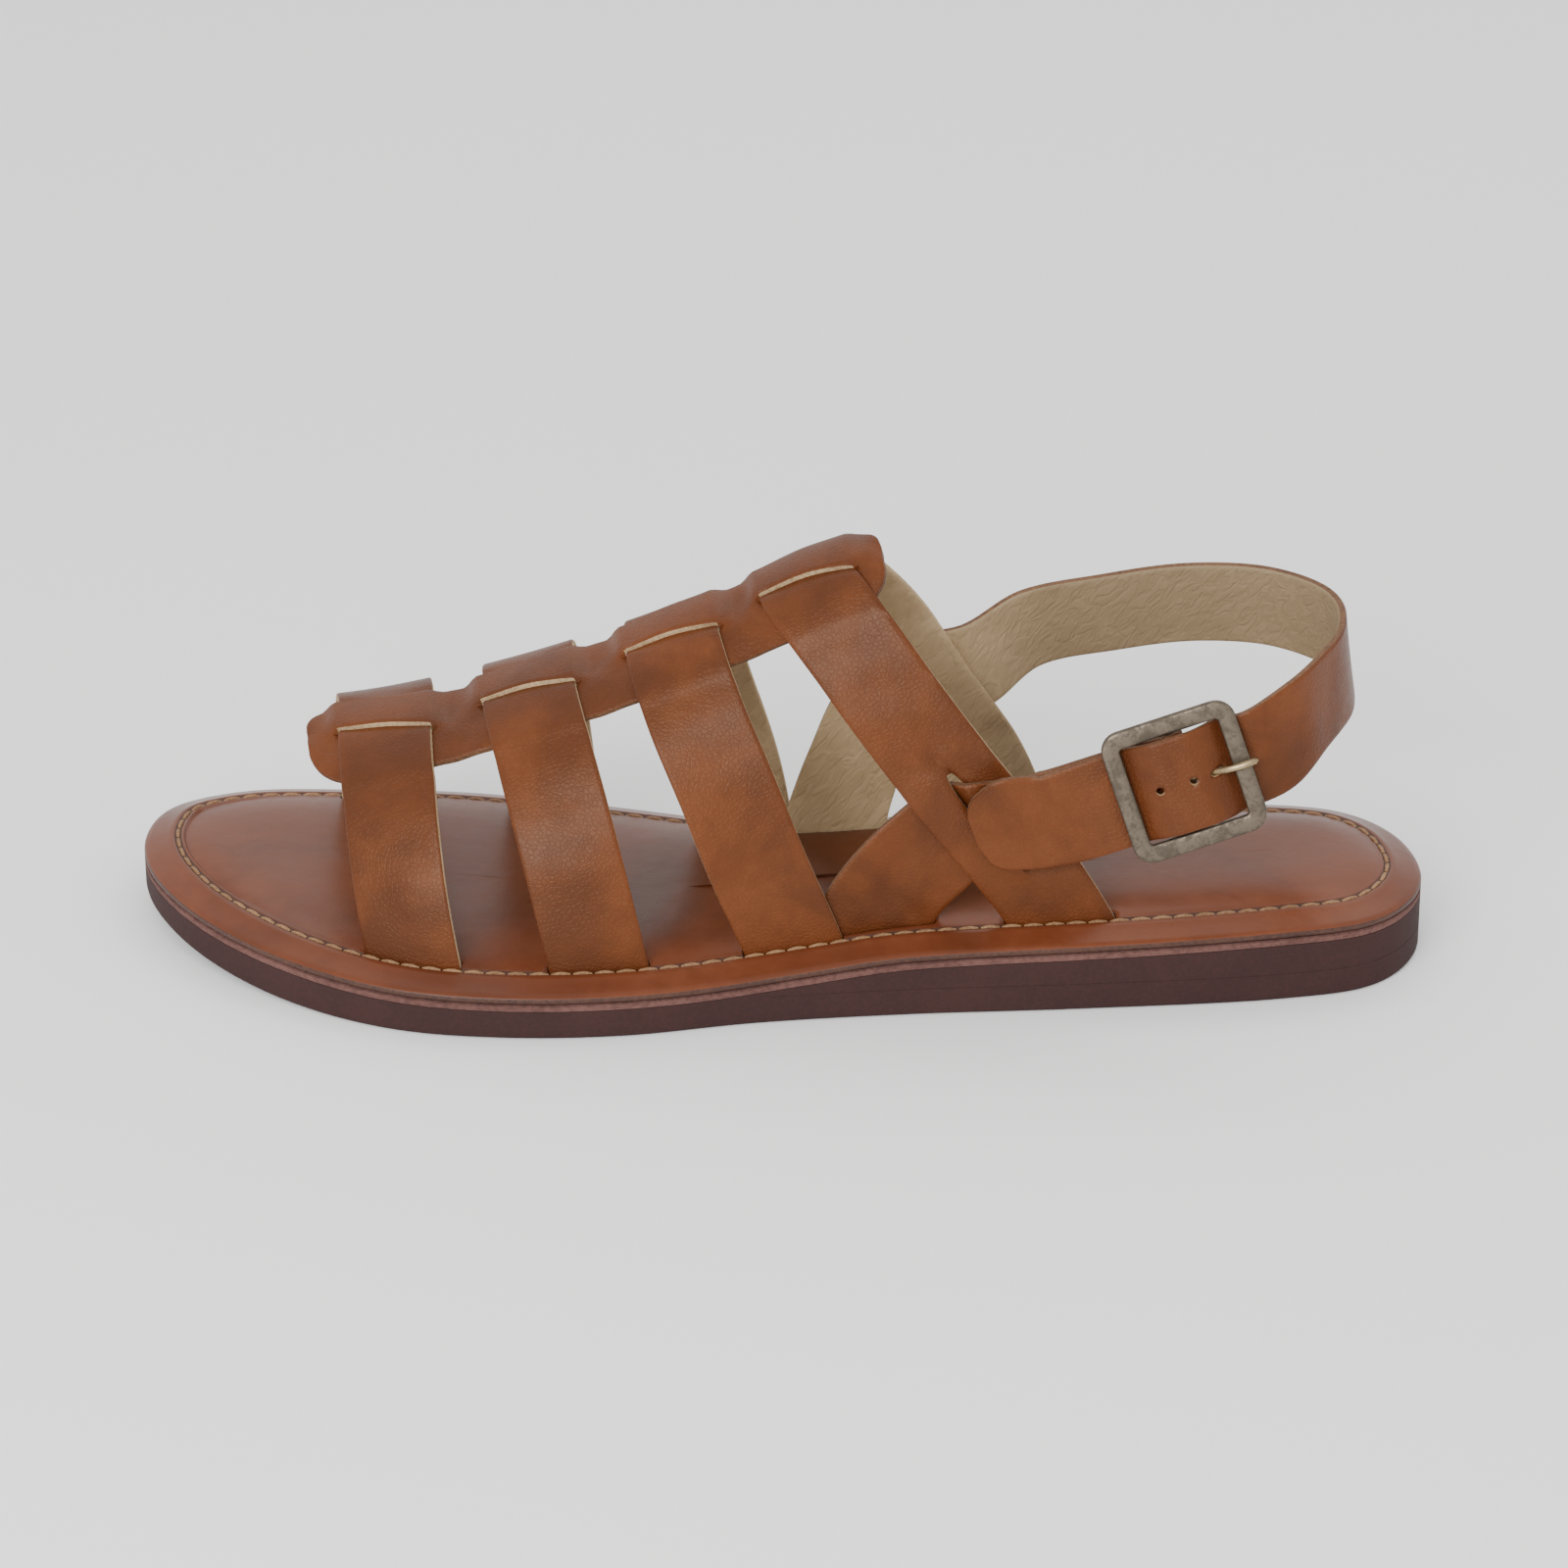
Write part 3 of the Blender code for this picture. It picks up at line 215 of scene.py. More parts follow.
# distance behind the bar and height over the bar's middle along the pin's shaft, share of its radius
PIN_SHAFT: Rows = (
    (0.0000, 0.0019, 1.0), (0.0030, 0.0019, 1.0), (0.0055, 0.00215, 1.0), (0.0080, 0.0032, 1.0),
    (0.0101, 0.0043, 1.0), (0.0116, 0.0047, 1.0), (0.0156, 0.0047, 0.95), (0.0165, 0.0046, 0.72),
    (0.0168, 0.0045, 0.30),
)


class Curve:
    """Smooth curve through the rows of a table, read by the first column."""

    def __init__(self, rows: Rows | np.ndarray) -> None:
        table = np.array(rows, float)
        self.keys, self.values = table[:, 0], table[:, 1:]
        gaps = np.diff(self.keys)[:, None]
        slopes = np.diff(self.values, axis=0) / gaps
        inner = (slopes[:-1] * gaps[1:] + slopes[1:] * gaps[:-1]) / (gaps[:-1] + gaps[1:])
        self.tangents = np.vstack([slopes[:1], inner, slopes[-1:]])

    def __call__(self, at: np.ndarray | float) -> np.ndarray:
        """Values at the keys.

        Args:
            at: One key or an array of them.

        Returns:
            An array of the keys' shape with one more axis for the table's other columns.
        """
        at = np.asarray(at, float)
        flat = at.ravel()
        i = np.clip(np.searchsorted(self.keys, flat) - 1, 0, len(self.keys) - 2)
        gap = (self.keys[i + 1] - self.keys[i])[:, None]
        t = np.clip((flat - self.keys[i])[:, None] / gap, 0.0, 1.0)
        blend = t * t * (3 - 2 * t)
        lead, trail = t * (1 - t) ** 2 * gap, t * t * (1 - t) * gap
        read = self.values[i] * (1 - blend) + self.values[i + 1] * blend
        read = read + self.tangents[i] * lead - self.tangents[i + 1] * trail
        return read.reshape(at.shape + (self.values.shape[1],))


def ramp(value: np.ndarray | float, start: float, end: float) -> np.ndarray:
    """Straight 0 to 1 as value runs from start to end."""
    return np.clip((np.asarray(value, float) - start) / (end - start), 0.0, 1.0)


def ease(value: np.ndarray | float, start: float, end: float) -> np.ndarray:
    """Smooth 0 to 1 as value runs from start to end."""
    t = ramp(value, start, end)
    return t * t * (3 - 2 * t)


def end_loss(share: float) -> float:
    """Share of a round end's radius that the width lacks, at a share of the radius from the tip."""
    return 1 - math.sqrt(max(0.0, 1 - (1 - min(1.0, share)) ** 2))


def turns_round(count: int) -> np.ndarray:
    """Even turns in radians round a circle, the last one left open."""
    return np.linspace(0.0, 2 * math.pi, count, endpoint=False)


def unit(vectors: np.ndarray) -> np.ndarray:
    """Vectors scaled to length one along the last axis."""
    return vectors / np.linalg.norm(vectors, axis=-1, keepdims=True)


def walked(points: np.ndarray) -> np.ndarray:
    """Distance walked along a row of points."""
    return np.concatenate([[0.0], np.cumsum(np.linalg.norm(np.diff(points, axis=0), axis=1))])


class Last:
    """Foot form that the straps lie on, over the outline of the sole."""

    def __init__(self) -> None:
        points = np.array(OUTLINE) * (S.length, S.ball_width)
        chord = np.sqrt(np.linalg.norm(np.roll(points, -1, 0) - points, axis=1))
        keys = np.concatenate([[-chord[-1]], [0.0], np.cumsum(chord), [chord.sum() + chord[0]]])
        wrapped = np.vstack([points[-1:], points, points[:2]])
        spots = np.linspace(0.0, chord.sum(), 2400, endpoint=False)
        self.walk = Curve(np.column_stack([keys, wrapped]))(spots)
        ahead = np.roll(self.walk, -1, 0) - np.roll(self.walk, 1, 0)
        self.out = unit(np.column_stack([-ahead[:, 1], ahead[:, 0]]))
        self.slots = self.sides(self.walk - S.slot_in * self.out)
        self.edges = self.sides(self.walk)
        low, high = self.walk.min(axis=0), self.walk.max(axis=0)
        self.origin = np.array([(low[0] + high[0]) / 2, (low[1] + high[1]) / 2, 0.0])
        self.heel, self.toe = low[0], high[0]
        self.rim_curve, self.form = Curve(RIM), Curve(LAST)
        self.turns = np.linspace(0.0, 180.0, 361)
        self.stations = np.linspace(0.24, 0.90, 200) * S.length
        grid = self.point(*np.meshgrid(self.stations, self.turns, indexing="ij"))
        steps = np.linalg.norm(np.diff(grid, axis=1), axis=2)
        self.arcs = np.concatenate([np.zeros((len(grid), 1)), np.cumsum(steps, axis=1)], axis=1)
        centres = Curve(SPINE_TURN)(self.stations / S.length)[:, 0]
        self.spine = np.array([np.interp(c, self.turns, arc) for c, arc in zip(centres, self.arcs)])

    @staticmethod
    def sides(walk: np.ndarray) -> tuple[np.ndarray, np.ndarray]:
        """Outer and inner side of a closed walk, as tables of station against side."""
        walk = np.roll(walk, -int(walk[:, 0].argmin()), axis=0)
        toe = int(walk[:, 0].argmax())
        return walk[: toe + 1], np.vstack([walk[toe:], walk[:1]])[::-1]

    def rim(self, x: np.ndarray) -> np.ndarray:
        """Height of the insole's edge at a station."""
        return self.rim_curve(np.asarray(x) / S.length)[..., 0]

    def point(self, x: np.ndarray | float, turn: np.ndarray | float) -> np.ndarray:
        """Points on the form at stations and turns in degrees from the outer slot."""
        x, turn = np.broadcast_arrays(np.asarray(x, float), np.asarray(turn, float))
        ridge, height, full = np.moveaxis(self.form(x / S.length), -1, 0)
        base = self.rim(x) - S.insole_edge
        cos, sin = np.cos(np.radians(turn)), np.sin(np.radians(turn))
        outer = np.interp(x, self.slots[0][:, 0], self.slots[0][:, 1])
        inner = np.interp(x, self.slots[1][:, 0], self.slots[1][:, 1])
        reach = np.where(cos > 0, outer - ridge, ridge - inner)
        y = ridge + reach * np.sign(cos) * np.abs(cos) ** (2 / full)
        return np.stack([x, y, base + (height - base) * np.abs(sin) ** (2 / full)], axis=-1)

    def stride(self, x: np.ndarray | float, turn: np.ndarray | float) -> np.ndarray:
        """Short step toward the toe over the form, centred on a point."""
        return self.point(x + STRIDE / 2, turn) - self.point(x - STRIDE / 2, turn)

    def normal(self, x: np.ndarray, turn: np.ndarray) -> np.ndarray:
        """Outward direction of the form."""
        turn = np.clip(turn, 0.6, 179.4)
        along = self.stride(x, turn)
        over = self.point(x, turn + 0.5) - self.point(x, turn - 0.5)
        return unit(np.cross(over, along))

    def arc_row(self, x: float) -> tuple[np.ndarray, float]:
        """Distances over the form at every turn of a station, and at the spine band's centre line."""
        place = (x - self.stations[0]) / (self.stations[1] - self.stations[0])
        place = np.clip(place, 0, len(self.stations) - 1.001)
        i = int(place)
        mix = place - i
        arcs = self.arcs[i] * (1 - mix) + self.arcs[i + 1] * mix
        return arcs, self.spine[i] * (1 - mix) + self.spine[i + 1] * mix

    def across_spine(self, x: np.ndarray, turn: np.ndarray) -> np.ndarray:
        """Distance over the form from the spine band's centre line, positive to the outer side."""
        result = np.empty(np.size(x))
        for n, (station, at) in enumerate(zip(np.ravel(x), np.ravel(turn))):
            arcs, centre = self.arc_row(float(station))
            result[n] = centre - np.interp(at, self.turns, arcs)
        return result.reshape(np.shape(x))

    def spine_turn(self, x: float, across: float) -> float:
        """Turn of the point at a distance across from the spine band's centre line."""
        arcs, centre = self.arc_row(float(x))
        return float(np.interp(centre - across, arcs, self.turns))


LAST_FORM = Last()


class Strap:
    """Centre line and width of one cross strap laid over the last."""

    def __init__(self, rows: Rows) -> None:
        self.turns = np.linspace(0.0, 180.0, 721)
        self.centre = Curve(rows)(self.turns)[:, 0] * S.length
        points = LAST_FORM.point(self.centre, self.turns)
        self.walked = walked(points)
        along = LAST_FORM.stride(self.centre, self.turns) / STRIDE
        share = np.linalg.norm(np.cross(along, unit(np.gradient(points, axis=0))), axis=1)
        share = np.convolve(np.pad(share, 20, mode="edge"), np.ones(41) / 41, mode="valid")
        self.half = S.half / share
        self.length = float(self.walked[-1])
        self.crossing = float(np.interp(0.0, -LAST_FORM.across_spine(self.centre, self.turns), self.walked))

    def surface(self, along: np.ndarray | float, across: np.ndarray | float) -> tuple[np.ndarray, np.ndarray]:
        """Place of a point of the strap on the last.

        Args:
            along: Distance along the centre line from the outer slot.
            across: Distance across, positive to the toe.

        Returns:
            The station and the turn.
        """
        turn = np.interp(along, self.walked, self.turns)
        half = np.interp(turn, self.turns, self.half)
        return np.interp(turn, self.turns, self.centre) + half * np.asarray(across) / S.half, turn


STRAPS = {name: Strap(rows) for name, rows in CROSS_STRAPS.items()}
INNER_SLIT = STRAPS["instep"].length - S.inner_slit_back


def quarter_middle(slit: float, across: np.ndarray | float, side: int) -> np.ndarray:
    """Where the middle of a quarter strap lies along the instep strap, at a distance across it."""
    return slit - side * (S.quarter_sag + S.quarter_dip * np.maximum(0.0, np.asarray(across) / S.half) ** 2)


class QuarterPath:
    """Surface that the two buckled straps follow, from the outer slot round the heel to the inner slot."""

    def __init__(self) -> None:
        crossing = (S.half, 0.5 * S.half, S.quarter_ramp, -S.quarter_ramp, -0.5 * S.half, -S.half)
        zone = np.linspace(BUCKLE_ZONE[0], BUCKLE_ZONE[1], 9)
        keys = [self.table_row(row) for row in OUTER_ROWS]
        outer = len(keys)
        keys += [self.slit_row(S.outer_slit, across, 1) for across in crossing]
        buckle = len(keys) + 4
        keys += self.loop_rows(np.vstack([zone, AFTER_BUCKLE]))
        inner = len(keys)
        keys += [self.slit_row(INNER_SLIT, across, -1) for across in crossing[::-1]]
        keys += [self.table_row(row) for row in INNER_ROWS[::-1]]
        table = np.array(keys)
        at = walked(table.mean(axis=1))
        self.upper = Curve(np.column_stack([at, table[:, 0]]))
        self.lower = Curve(np.column_stack([at, table[:, 1]]))
        self.length = float(at[-1])
        self.outer_crossing = at[outer:outer + 6]
        self.inner_crossing = at[inner:inner + 6]
        self.buckle = float(at[buckle])

    @staticmethod
    def table_row(row: tuple[float, ...]) -> tuple[np.ndarray, np.ndarray]:
        """Upper and lower edge points of one row of a table."""
        return LAST_FORM.point(row[0] * S.length, row[1]), LAST_FORM.point(row[2] * S.length, row[3])

    @staticmethod
    def slit_row(slit: float, across: float, side: int) -> tuple[np.ndarray, np.ndarray]:
        """Upper and lower edge points where the strap passes through the instep strap."""
        middle = quarter_middle(slit, across, side)
        ends = []
        for end in (1, -1):
            fanned = across * (1 + S.quarter_fan * end)
            ends.append(LAST_FORM.point(*STRAPS["instep"].surface(middle + side * S.half * end, fanned)))
        return ends[0], ends[1]

    @staticmethod
    def loop_rows(table: np.ndarray) -> list[tuple[np.ndarray, np.ndarray]]:
        """Upper and lower edge points of the free loop round the heel."""
        rows = []
        for row, ahead in zip(table, unit(np.gradient(table[:, :3], axis=0))):
            centre, lean = row[:3], math.radians(row[3])
            outward = unit(np.cross(ahead, (0.0, 0.0, 1.0)))
            up = np.array((0.0, 0.0, math.cos(lean))) - outward * math.sin(lean)
            up = unit(up - ahead * np.dot(up, ahead))
            rows.append((centre + up * S.half, centre - up * S.half))
        return rows

    def middle(self, at: float) -> np.ndarray:
        """Middle of the strap at a distance along the path."""
        return (self.upper(at) + self.lower(at)) / 2

    def row(self, at: float, square: bool = False) -> tuple[np.ndarray, np.ndarray, float, np.ndarray]:
        """Frame of the strap at one place.

        Args:
            at: Distance along the path.
            square: Whether the width is held at right angles to the path.

        Returns:
            The middle, the width direction, the half width and the outward direction.
        """
        width = self.upper(at) - self.lower(at)
        ahead = self.middle(min(self.length, at + 0.0005)) - self.middle(max(0.0, at - 0.0005))
        free = square or self.outer_crossing[-1] < at < self.inner_crossing[0]
        half = S.half if free else float(np.linalg.norm(width)) / 2
        if square:
            width = width - unit(ahead) * np.dot(unit(ahead), width)
        return self.middle(at), unit(width), half, unit(np.cross(ahead, width))


PATH = QuarterPath()


@dataclass(frozen=True)
class Crease:
    """Soft fold in a leather sheet: a trough, or a ridge where its depth is negative."""

    along: float
    across: float
    turn: float
    length: float
    width: float
    depth: float

    def height(self, along: np.ndarray, across: np.ndarray) -> np.ndarray:
        """Height that the fold adds at places on the sheet."""
        cos, sin = math.cos(math.radians(self.turn)), math.sin(math.radians(self.turn))
        run = (along - self.along) * cos + (across - self.across) * sin
        off = ((across - self.across) * cos - (along - self.along) * sin) / self.width
        fade = np.exp(-(run / self.length) ** 2)
        return self.depth * fade * (0.4 * np.exp(-((np.abs(off) - 1.9) ** 2) / 0.5) - np.exp(-off ** 2))


# distance along and across, turn, length, width and depth of each crease
CREASES: dict[str, Rows] = {
    "toe": ((0.014, 0.002, 12, 0.006, 0.0030, 0.00022), (0.030, -0.004, 78, 0.007, 0.0040, 0.00025)),
    "ball": ((0.020, 0.003, 70, 0.007, 0.0042, 0.00028), (0.043, -0.002, 84, 0.008, 0.0040, 0.00022)),
    "arch": ((0.024, 0.001, 75, 0.008, 0.0045, 0.00028), (0.052, -0.003, 80, 0.008, 0.0045, 0.00025)),
    "instep": (
        (0.0505, 0.0004, 8, 0.0045, 0.0013, 0.00055), (0.0492, -0.0035, -42, 0.0042, 0.0012, 0.00042),
        (0.0500, 0.0042, 46, 0.0040, 0.0012, 0.00034), (0.0560, -0.0012, -14, 0.0050, 0.0016, 0.00028),
        (0.0200, 0.0050, 10, 0.0060, 0.0022, 0.00026), (0.0720, 0.0010, 82, 0.0080, 0.0046, 0.00026),
    ),
    "heel_strap": (
        (0.1130, 0.0000, 86, 0.0090, 0.0026, 0.00030), (0.1240, -0.0020, 78, 0.0090, 0.0030, 0.00025),
        (0.1420, 0.0015, 95, 0.0090, 0.0036, 0.00020), (0.0600, 0.0020, 30, 0.0060, 0.0024, 0.00018),
    ),
    "buckle_strap": (
        (0.0200, 0.0020, 20, 0.0090, 0.0034, 0.00036), (0.0130, -0.0040, 65, 0.0070, 0.0030, 0.00026),
    ),
}


def folds(piece: str, along: np.ndarray, across: np.ndarray) -> np.ndarray:
    """Height of all listed creases of a piece."""
    total = np.zeros(np.broadcast(along, across).shape)
    for row in CREASES.get(piece, ()):
        total = total + Crease(*row).height(np.asarray(along), np.asarray(across))
    return total


class Face(Enum):
    """Material slots of a leather sheet."""

    DRESSED = 0
    LINING = 1
    RAW = 2
    BURNISHED = 3


def linked(name: str, data: bpy.types.ID) -> Thing:
    """New object with its data, linked to the scene."""
    thing = bpy.data.objects.new(name, data)
    bpy.context.scene.collection.objects.link(thing)
    return thing


class Model:
    """Mesh pieces in the row frame."""

    @staticmethod
    def piece(name: str, points: np.ndarray, faces: list[tuple[int, ...]], materials: Materials,
              slots: list[int] | None = None, sharp: float = 38.0) -> Thing:
        """New smooth object with its sharp edges marked.

        Args:
            name: Name of the piece.
            points: Points in the build's own heel-based coordinates.
            faces: Faces as point numbers.
            materials: Materials of the piece, in slot order.
            slots: Slot of each face, or none for the first slot.
            sharp: Angle in degrees from which an edge stays sharp.

        Returns:
            The new object, linked to the scene.
        """
        mesh = bpy.data.meshes.new(name)
        mesh.from_pydata((np.asarray(points) - LAST_FORM.origin).tolist(), [], faces)
        for material in materials:
            mesh.materials.append(material)
        if slots is not None:
            mesh.polygons.foreach_set("material_index", slots)
        mesh.polygons.foreach_set("use_smooth", [True] * len(mesh.polygons))
        book = bmesh.new()
        book.from_mesh(mesh)
        bmesh.ops.remove_doubles(book, verts=book.verts, dist=1e-6)
        bmesh.ops.recalc_face_normals(book, faces=book.faces)
        for edge in book.edges:
            if len(edge.link_faces) == 2 and edge.calc_face_angle() > math.radians(sharp):
                edge.smooth = False
        book.to_mesh(mesh)
        book.free()
        mesh.update()
        return linked(name, mesh)

    @staticmethod
    def cut(thing: Thing, tools: list[Thing]) -> None:
        """Cut tools out of a piece, and remove them."""
        for tool in tools:
            cutter = thing.modifiers.new(tool.name, "BOOLEAN")
            cutter.operation = "DIFFERENCE"
            cutter.solver = "EXACT"
            cutter.use_self = True
            cutter.object = tool
        graph = bpy.context.evaluated_depsgraph_get()
        mesh = bpy.data.meshes.new_from_object(thing.evaluated_get(graph))
        thing.modifiers.clear()
        thing.data = mesh
        for tool in tools:
            bpy.data.objects.remove(tool, do_unlink=True)

    @staticmethod
    def rings(name: str, rings: list[np.ndarray], materials: Materials, closed: bool = False,
              slots: list[int] | None = None, sharp: float = 38.0) -> Thing:
        """Body from rings of equal count.

        Args:
            name: Name of the piece.
            rings: Rings of points, each joined to the next.
            materials: Materials of the piece, in slot order.
            closed: Whether the last ring joins the first, in place of a flat cap at either end.
            slots: Slot of the faces between each ring and the next, or none for the first slot.
            sharp: Angle in degrees from which an edge stays sharp.

        Returns:
            The new object.
        """
        count = len(rings[0])
        faces, marks = [], []
        for level in range(len(rings) if closed else len(rings) - 1):
            low, high = level * count, (level + 1) % len(rings) * count
            for i in range(count):
                j = (i + 1) % count
                faces.append((low + j, low + i, high + i, high + j))
                marks.append(slots[level] if slots else 0)
        if not closed:
            last = (len(rings) - 1) * count
            faces += [tuple(range(count)), tuple(range(last, last + count))[::-1]]
            marks += [marks[0], marks[-1]]
        return Model.piece(name, np.vstack(rings), faces, materials, marks, sharp)

    @staticmethod
    def join(things: list[Thing], name: str) -> Thing:
        """One object from several that share their materials."""
        book = bmesh.new()
        for thing in things:
            book.from_mesh(thing.data)
        mesh = bpy.data.meshes.new(name)
        book.to_mesh(mesh)
        book.free()
        for material in things[0].data.materials:
            mesh.materials.append(material)
        for thing in things:
            bpy.data.objects.remove(thing, do_unlink=True)
        return linked(name, mesh)


class Sheet:
    """Leather sheet on a grid of middle points, with a dressed face, a lining and raw edges."""

    EDGE_ROUND = 0.00028

    def __init__(self, name: str, middle: np.ndarray, outward: np.ndarray, materials: Materials,
                 missing: np.ndarray | None = None, thickness: float = S.leather) -> None:
        rows, columns = middle.shape[:2]
        present = np.ones((rows - 1, columns - 1), bool)
        if missing is not None:
            present &= ~missing
        number = np.arange(rows * columns).reshape(rows, columns)
        quads = [(number[r, c], number[r, c + 1], number[r + 1, c + 1], number[r + 1, c])
                 for r, c in zip(*np.nonzero(present))]
        border = set(number[0]) | set(number[-1]) | set(number[:, 0]) | set(number[:, -1])
        edges: dict[tuple[int, int], None] = {}
        for quad in quads:
            for a, b in zip(quad, quad[1:] + quad[:1]):
                key = (int(a), int(b))
                if (key[1], key[0]) in edges:
                    del edges[(key[1], key[0])]
                else:
                    edges[key] = None
        height = np.full(rows * columns, thickness / 2)
        rim = sorted({k for edge in edges for k in edge})
        height[rim] -= self.EDGE_ROUND
        flat, out = middle.reshape(-1, 3), outward.reshape(-1, 3)
        points = np.vstack([flat + out * height[:, None], flat - out * height[:, None]])
        lower = rows * columns
        faces = [tuple(int(k) for k in quad) for quad in quads]
        slots = [Face.DRESSED.value] * len(quads)
        faces += [tuple(int(k) + lower for k in quad[::-1]) for quad in quads]
        slots += [Face.LINING.value] * len(quads)
        faces += [(b, a, a + lower, b + lower) for a, b in edges]
        slots += [Face.BURNISHED.value if a in border and b in border else Face.RAW.value for a, b in edges]
        self.thing = Model.piece(name, points, faces, materials, slots)


def spread(marks: list[float], step: float) -> np.ndarray:
    """Places between marks at about an even step, with every mark kept."""
    marks = sorted(marks)
    places = [marks[0]]
    for start, end in zip(marks[:-1], marks[1:]):
        if end - start > 1e-7:
            places += list(np.linspace(start, end, max(1, round((end - start) / step)) + 1)[1:])
    return np.array(places)


class Fields:
    """Output of a shader node, with arithmetic."""

    def __init__(self, book: "Book", socket: bpy.types.NodeSocket) -> None:
        self.book, self.socket = book, socket

    def __add__(self, other: "Fields | float") -> "Fields":
        return self.book.math("ADD", self, other)

    def __sub__(self, other: "Fields | float") -> "Fields":
        return self.book.math("SUBTRACT", self, other)

    def __rsub__(self, other: float) -> "Fields":
        return self.book.math("SUBTRACT", other, self)

    def __mul__(self, other: "Fields | float") -> "Fields":
        return self.book.math("MULTIPLY", self, other)

    __radd__ = __add__
    __rmul__ = __mul__


class Book:
    """Node tree of one material with its main shader."""

    def __init__(self, name: str) -> None:
        self.material = bpy.data.materials.new(name)
        self.material.use_nodes = True
        self.tree = self.material.node_tree
        self.shader = self.tree.nodes["Principled BSDF"]
        self.place = self.node("ShaderNodeTexCoord", {}, {}, "Object")

    def node(self, kind: str, settings: dict, values: dict, output: str | int = 0) -> Fields:
        """New node.

        Args:
            kind: Blender's name of the node type.
            settings: Attributes of the node.
            values: Sockets by name or number, with a field or a plain value for each.
            output: Name or number of the output that is wanted.

        Returns:
            The output, as a field.
        """
        node = self.tree.nodes.new(kind)
        for key, value in settings.items():
            setattr(node, key, value)
        for key, value in values.items():
            self.feed(node.inputs[key], value)
        return Fields(self, node.outputs[output])

    def feed(self, socket: bpy.types.NodeSocket, value: "Fields | float | Colour") -> None:
        """Link a field to a socket, or set its plain value."""
        if isinstance(value, Fields):
            self.tree.links.new(value.socket, socket)
        elif isinstance(value, tuple) and socket.type == "RGBA":
            socket.default_value = (*value, 1.0)
        else:
            socket.default_value = value

    def math(self, operation: str, *values: "Fields | float") -> Fields:
        """Math node on fields and numbers."""
        return self.node("ShaderNodeMath", {"operation": operation}, dict(enumerate(values)))

    def band(self, value: Fields, start: float, end: float) -> Fields:
        """Smooth 0 to 1 as a field runs from start to end."""
        settings = {"interpolation_type": "SMOOTHSTEP", "clamp": True}
        return self.node("ShaderNodeMapRange", settings, {"Value": value, "From Min": start, "From Max": end})

    def mix(self, share: "Fields | float", low: "Fields | Colour", high: "Fields | Colour") -> Fields:
        """Colour between two colours."""
        return self.node("ShaderNodeMix", {"data_type": "RGBA"}, {0: share, 6: low, 7: high}, 2)

    def stretch(self, scale: Triple, turn: Triple = (0.0, 0.0, 0.0)) -> Fields:
        """Coordinates scaled and turned, for a directed pattern."""
        turned = self.node("ShaderNodeMapping", {}, {"Vector": self.place, "Rotation": turn})
        return self.node("ShaderNodeVectorMath", {"operation": "MULTIPLY"}, {0: turned, 1: scale})

    def noise(self, scale: float, detail: float = 3.0, rough: float = 0.55, warp: float = 0.0,
              place: Fields | None = None) -> Fields:
        """Cloudy pattern from 0 to 1.

        Args:
            scale: Clouds to the metre.
            detail: Number of finer layers.
            rough: Strength of the finer layers.
            warp: Distortion of the clouds.
            place: Coordinates, or none for the object's own.

        Returns:
            The pattern, as a field.
        """
        values = {"Vector": place or self.place, "Scale": scale, "Detail": detail, "Roughness": rough,
                  "Distortion": warp}
        return self.node("ShaderNodeTexNoise", {}, values)

    def cells(self, scale: float, feature: str = "DISTANCE_TO_EDGE") -> Fields:
        """Cell pattern, by the distance to the nearest cell wall or point."""
        values = {"Vector": self.place, "Scale": scale}
        return self.node("ShaderNodeTexVoronoi", {"feature": feature}, values, "Distance")

    def bump(self, height: Fields, depth: float, strength: float = 1.0,
             normal: Fields | None = None) -> Fields:
        """Surface normal of a relief."""
        values = {"Height": height, "Distance": depth, "Strength": strength}
        if normal is not None:
            values["Normal"] = normal
        return self.node("ShaderNodeBump", {}, values)

    def surface(self, **values: "Fields | float | Colour") -> bpy.types.Material:
        """Set the main shader's sockets, named with underscores for spaces, and give the material."""
        for key, value in values.items():
            self.feed(self.shader.inputs[key.replace("_", " ")], value)
        return self.material


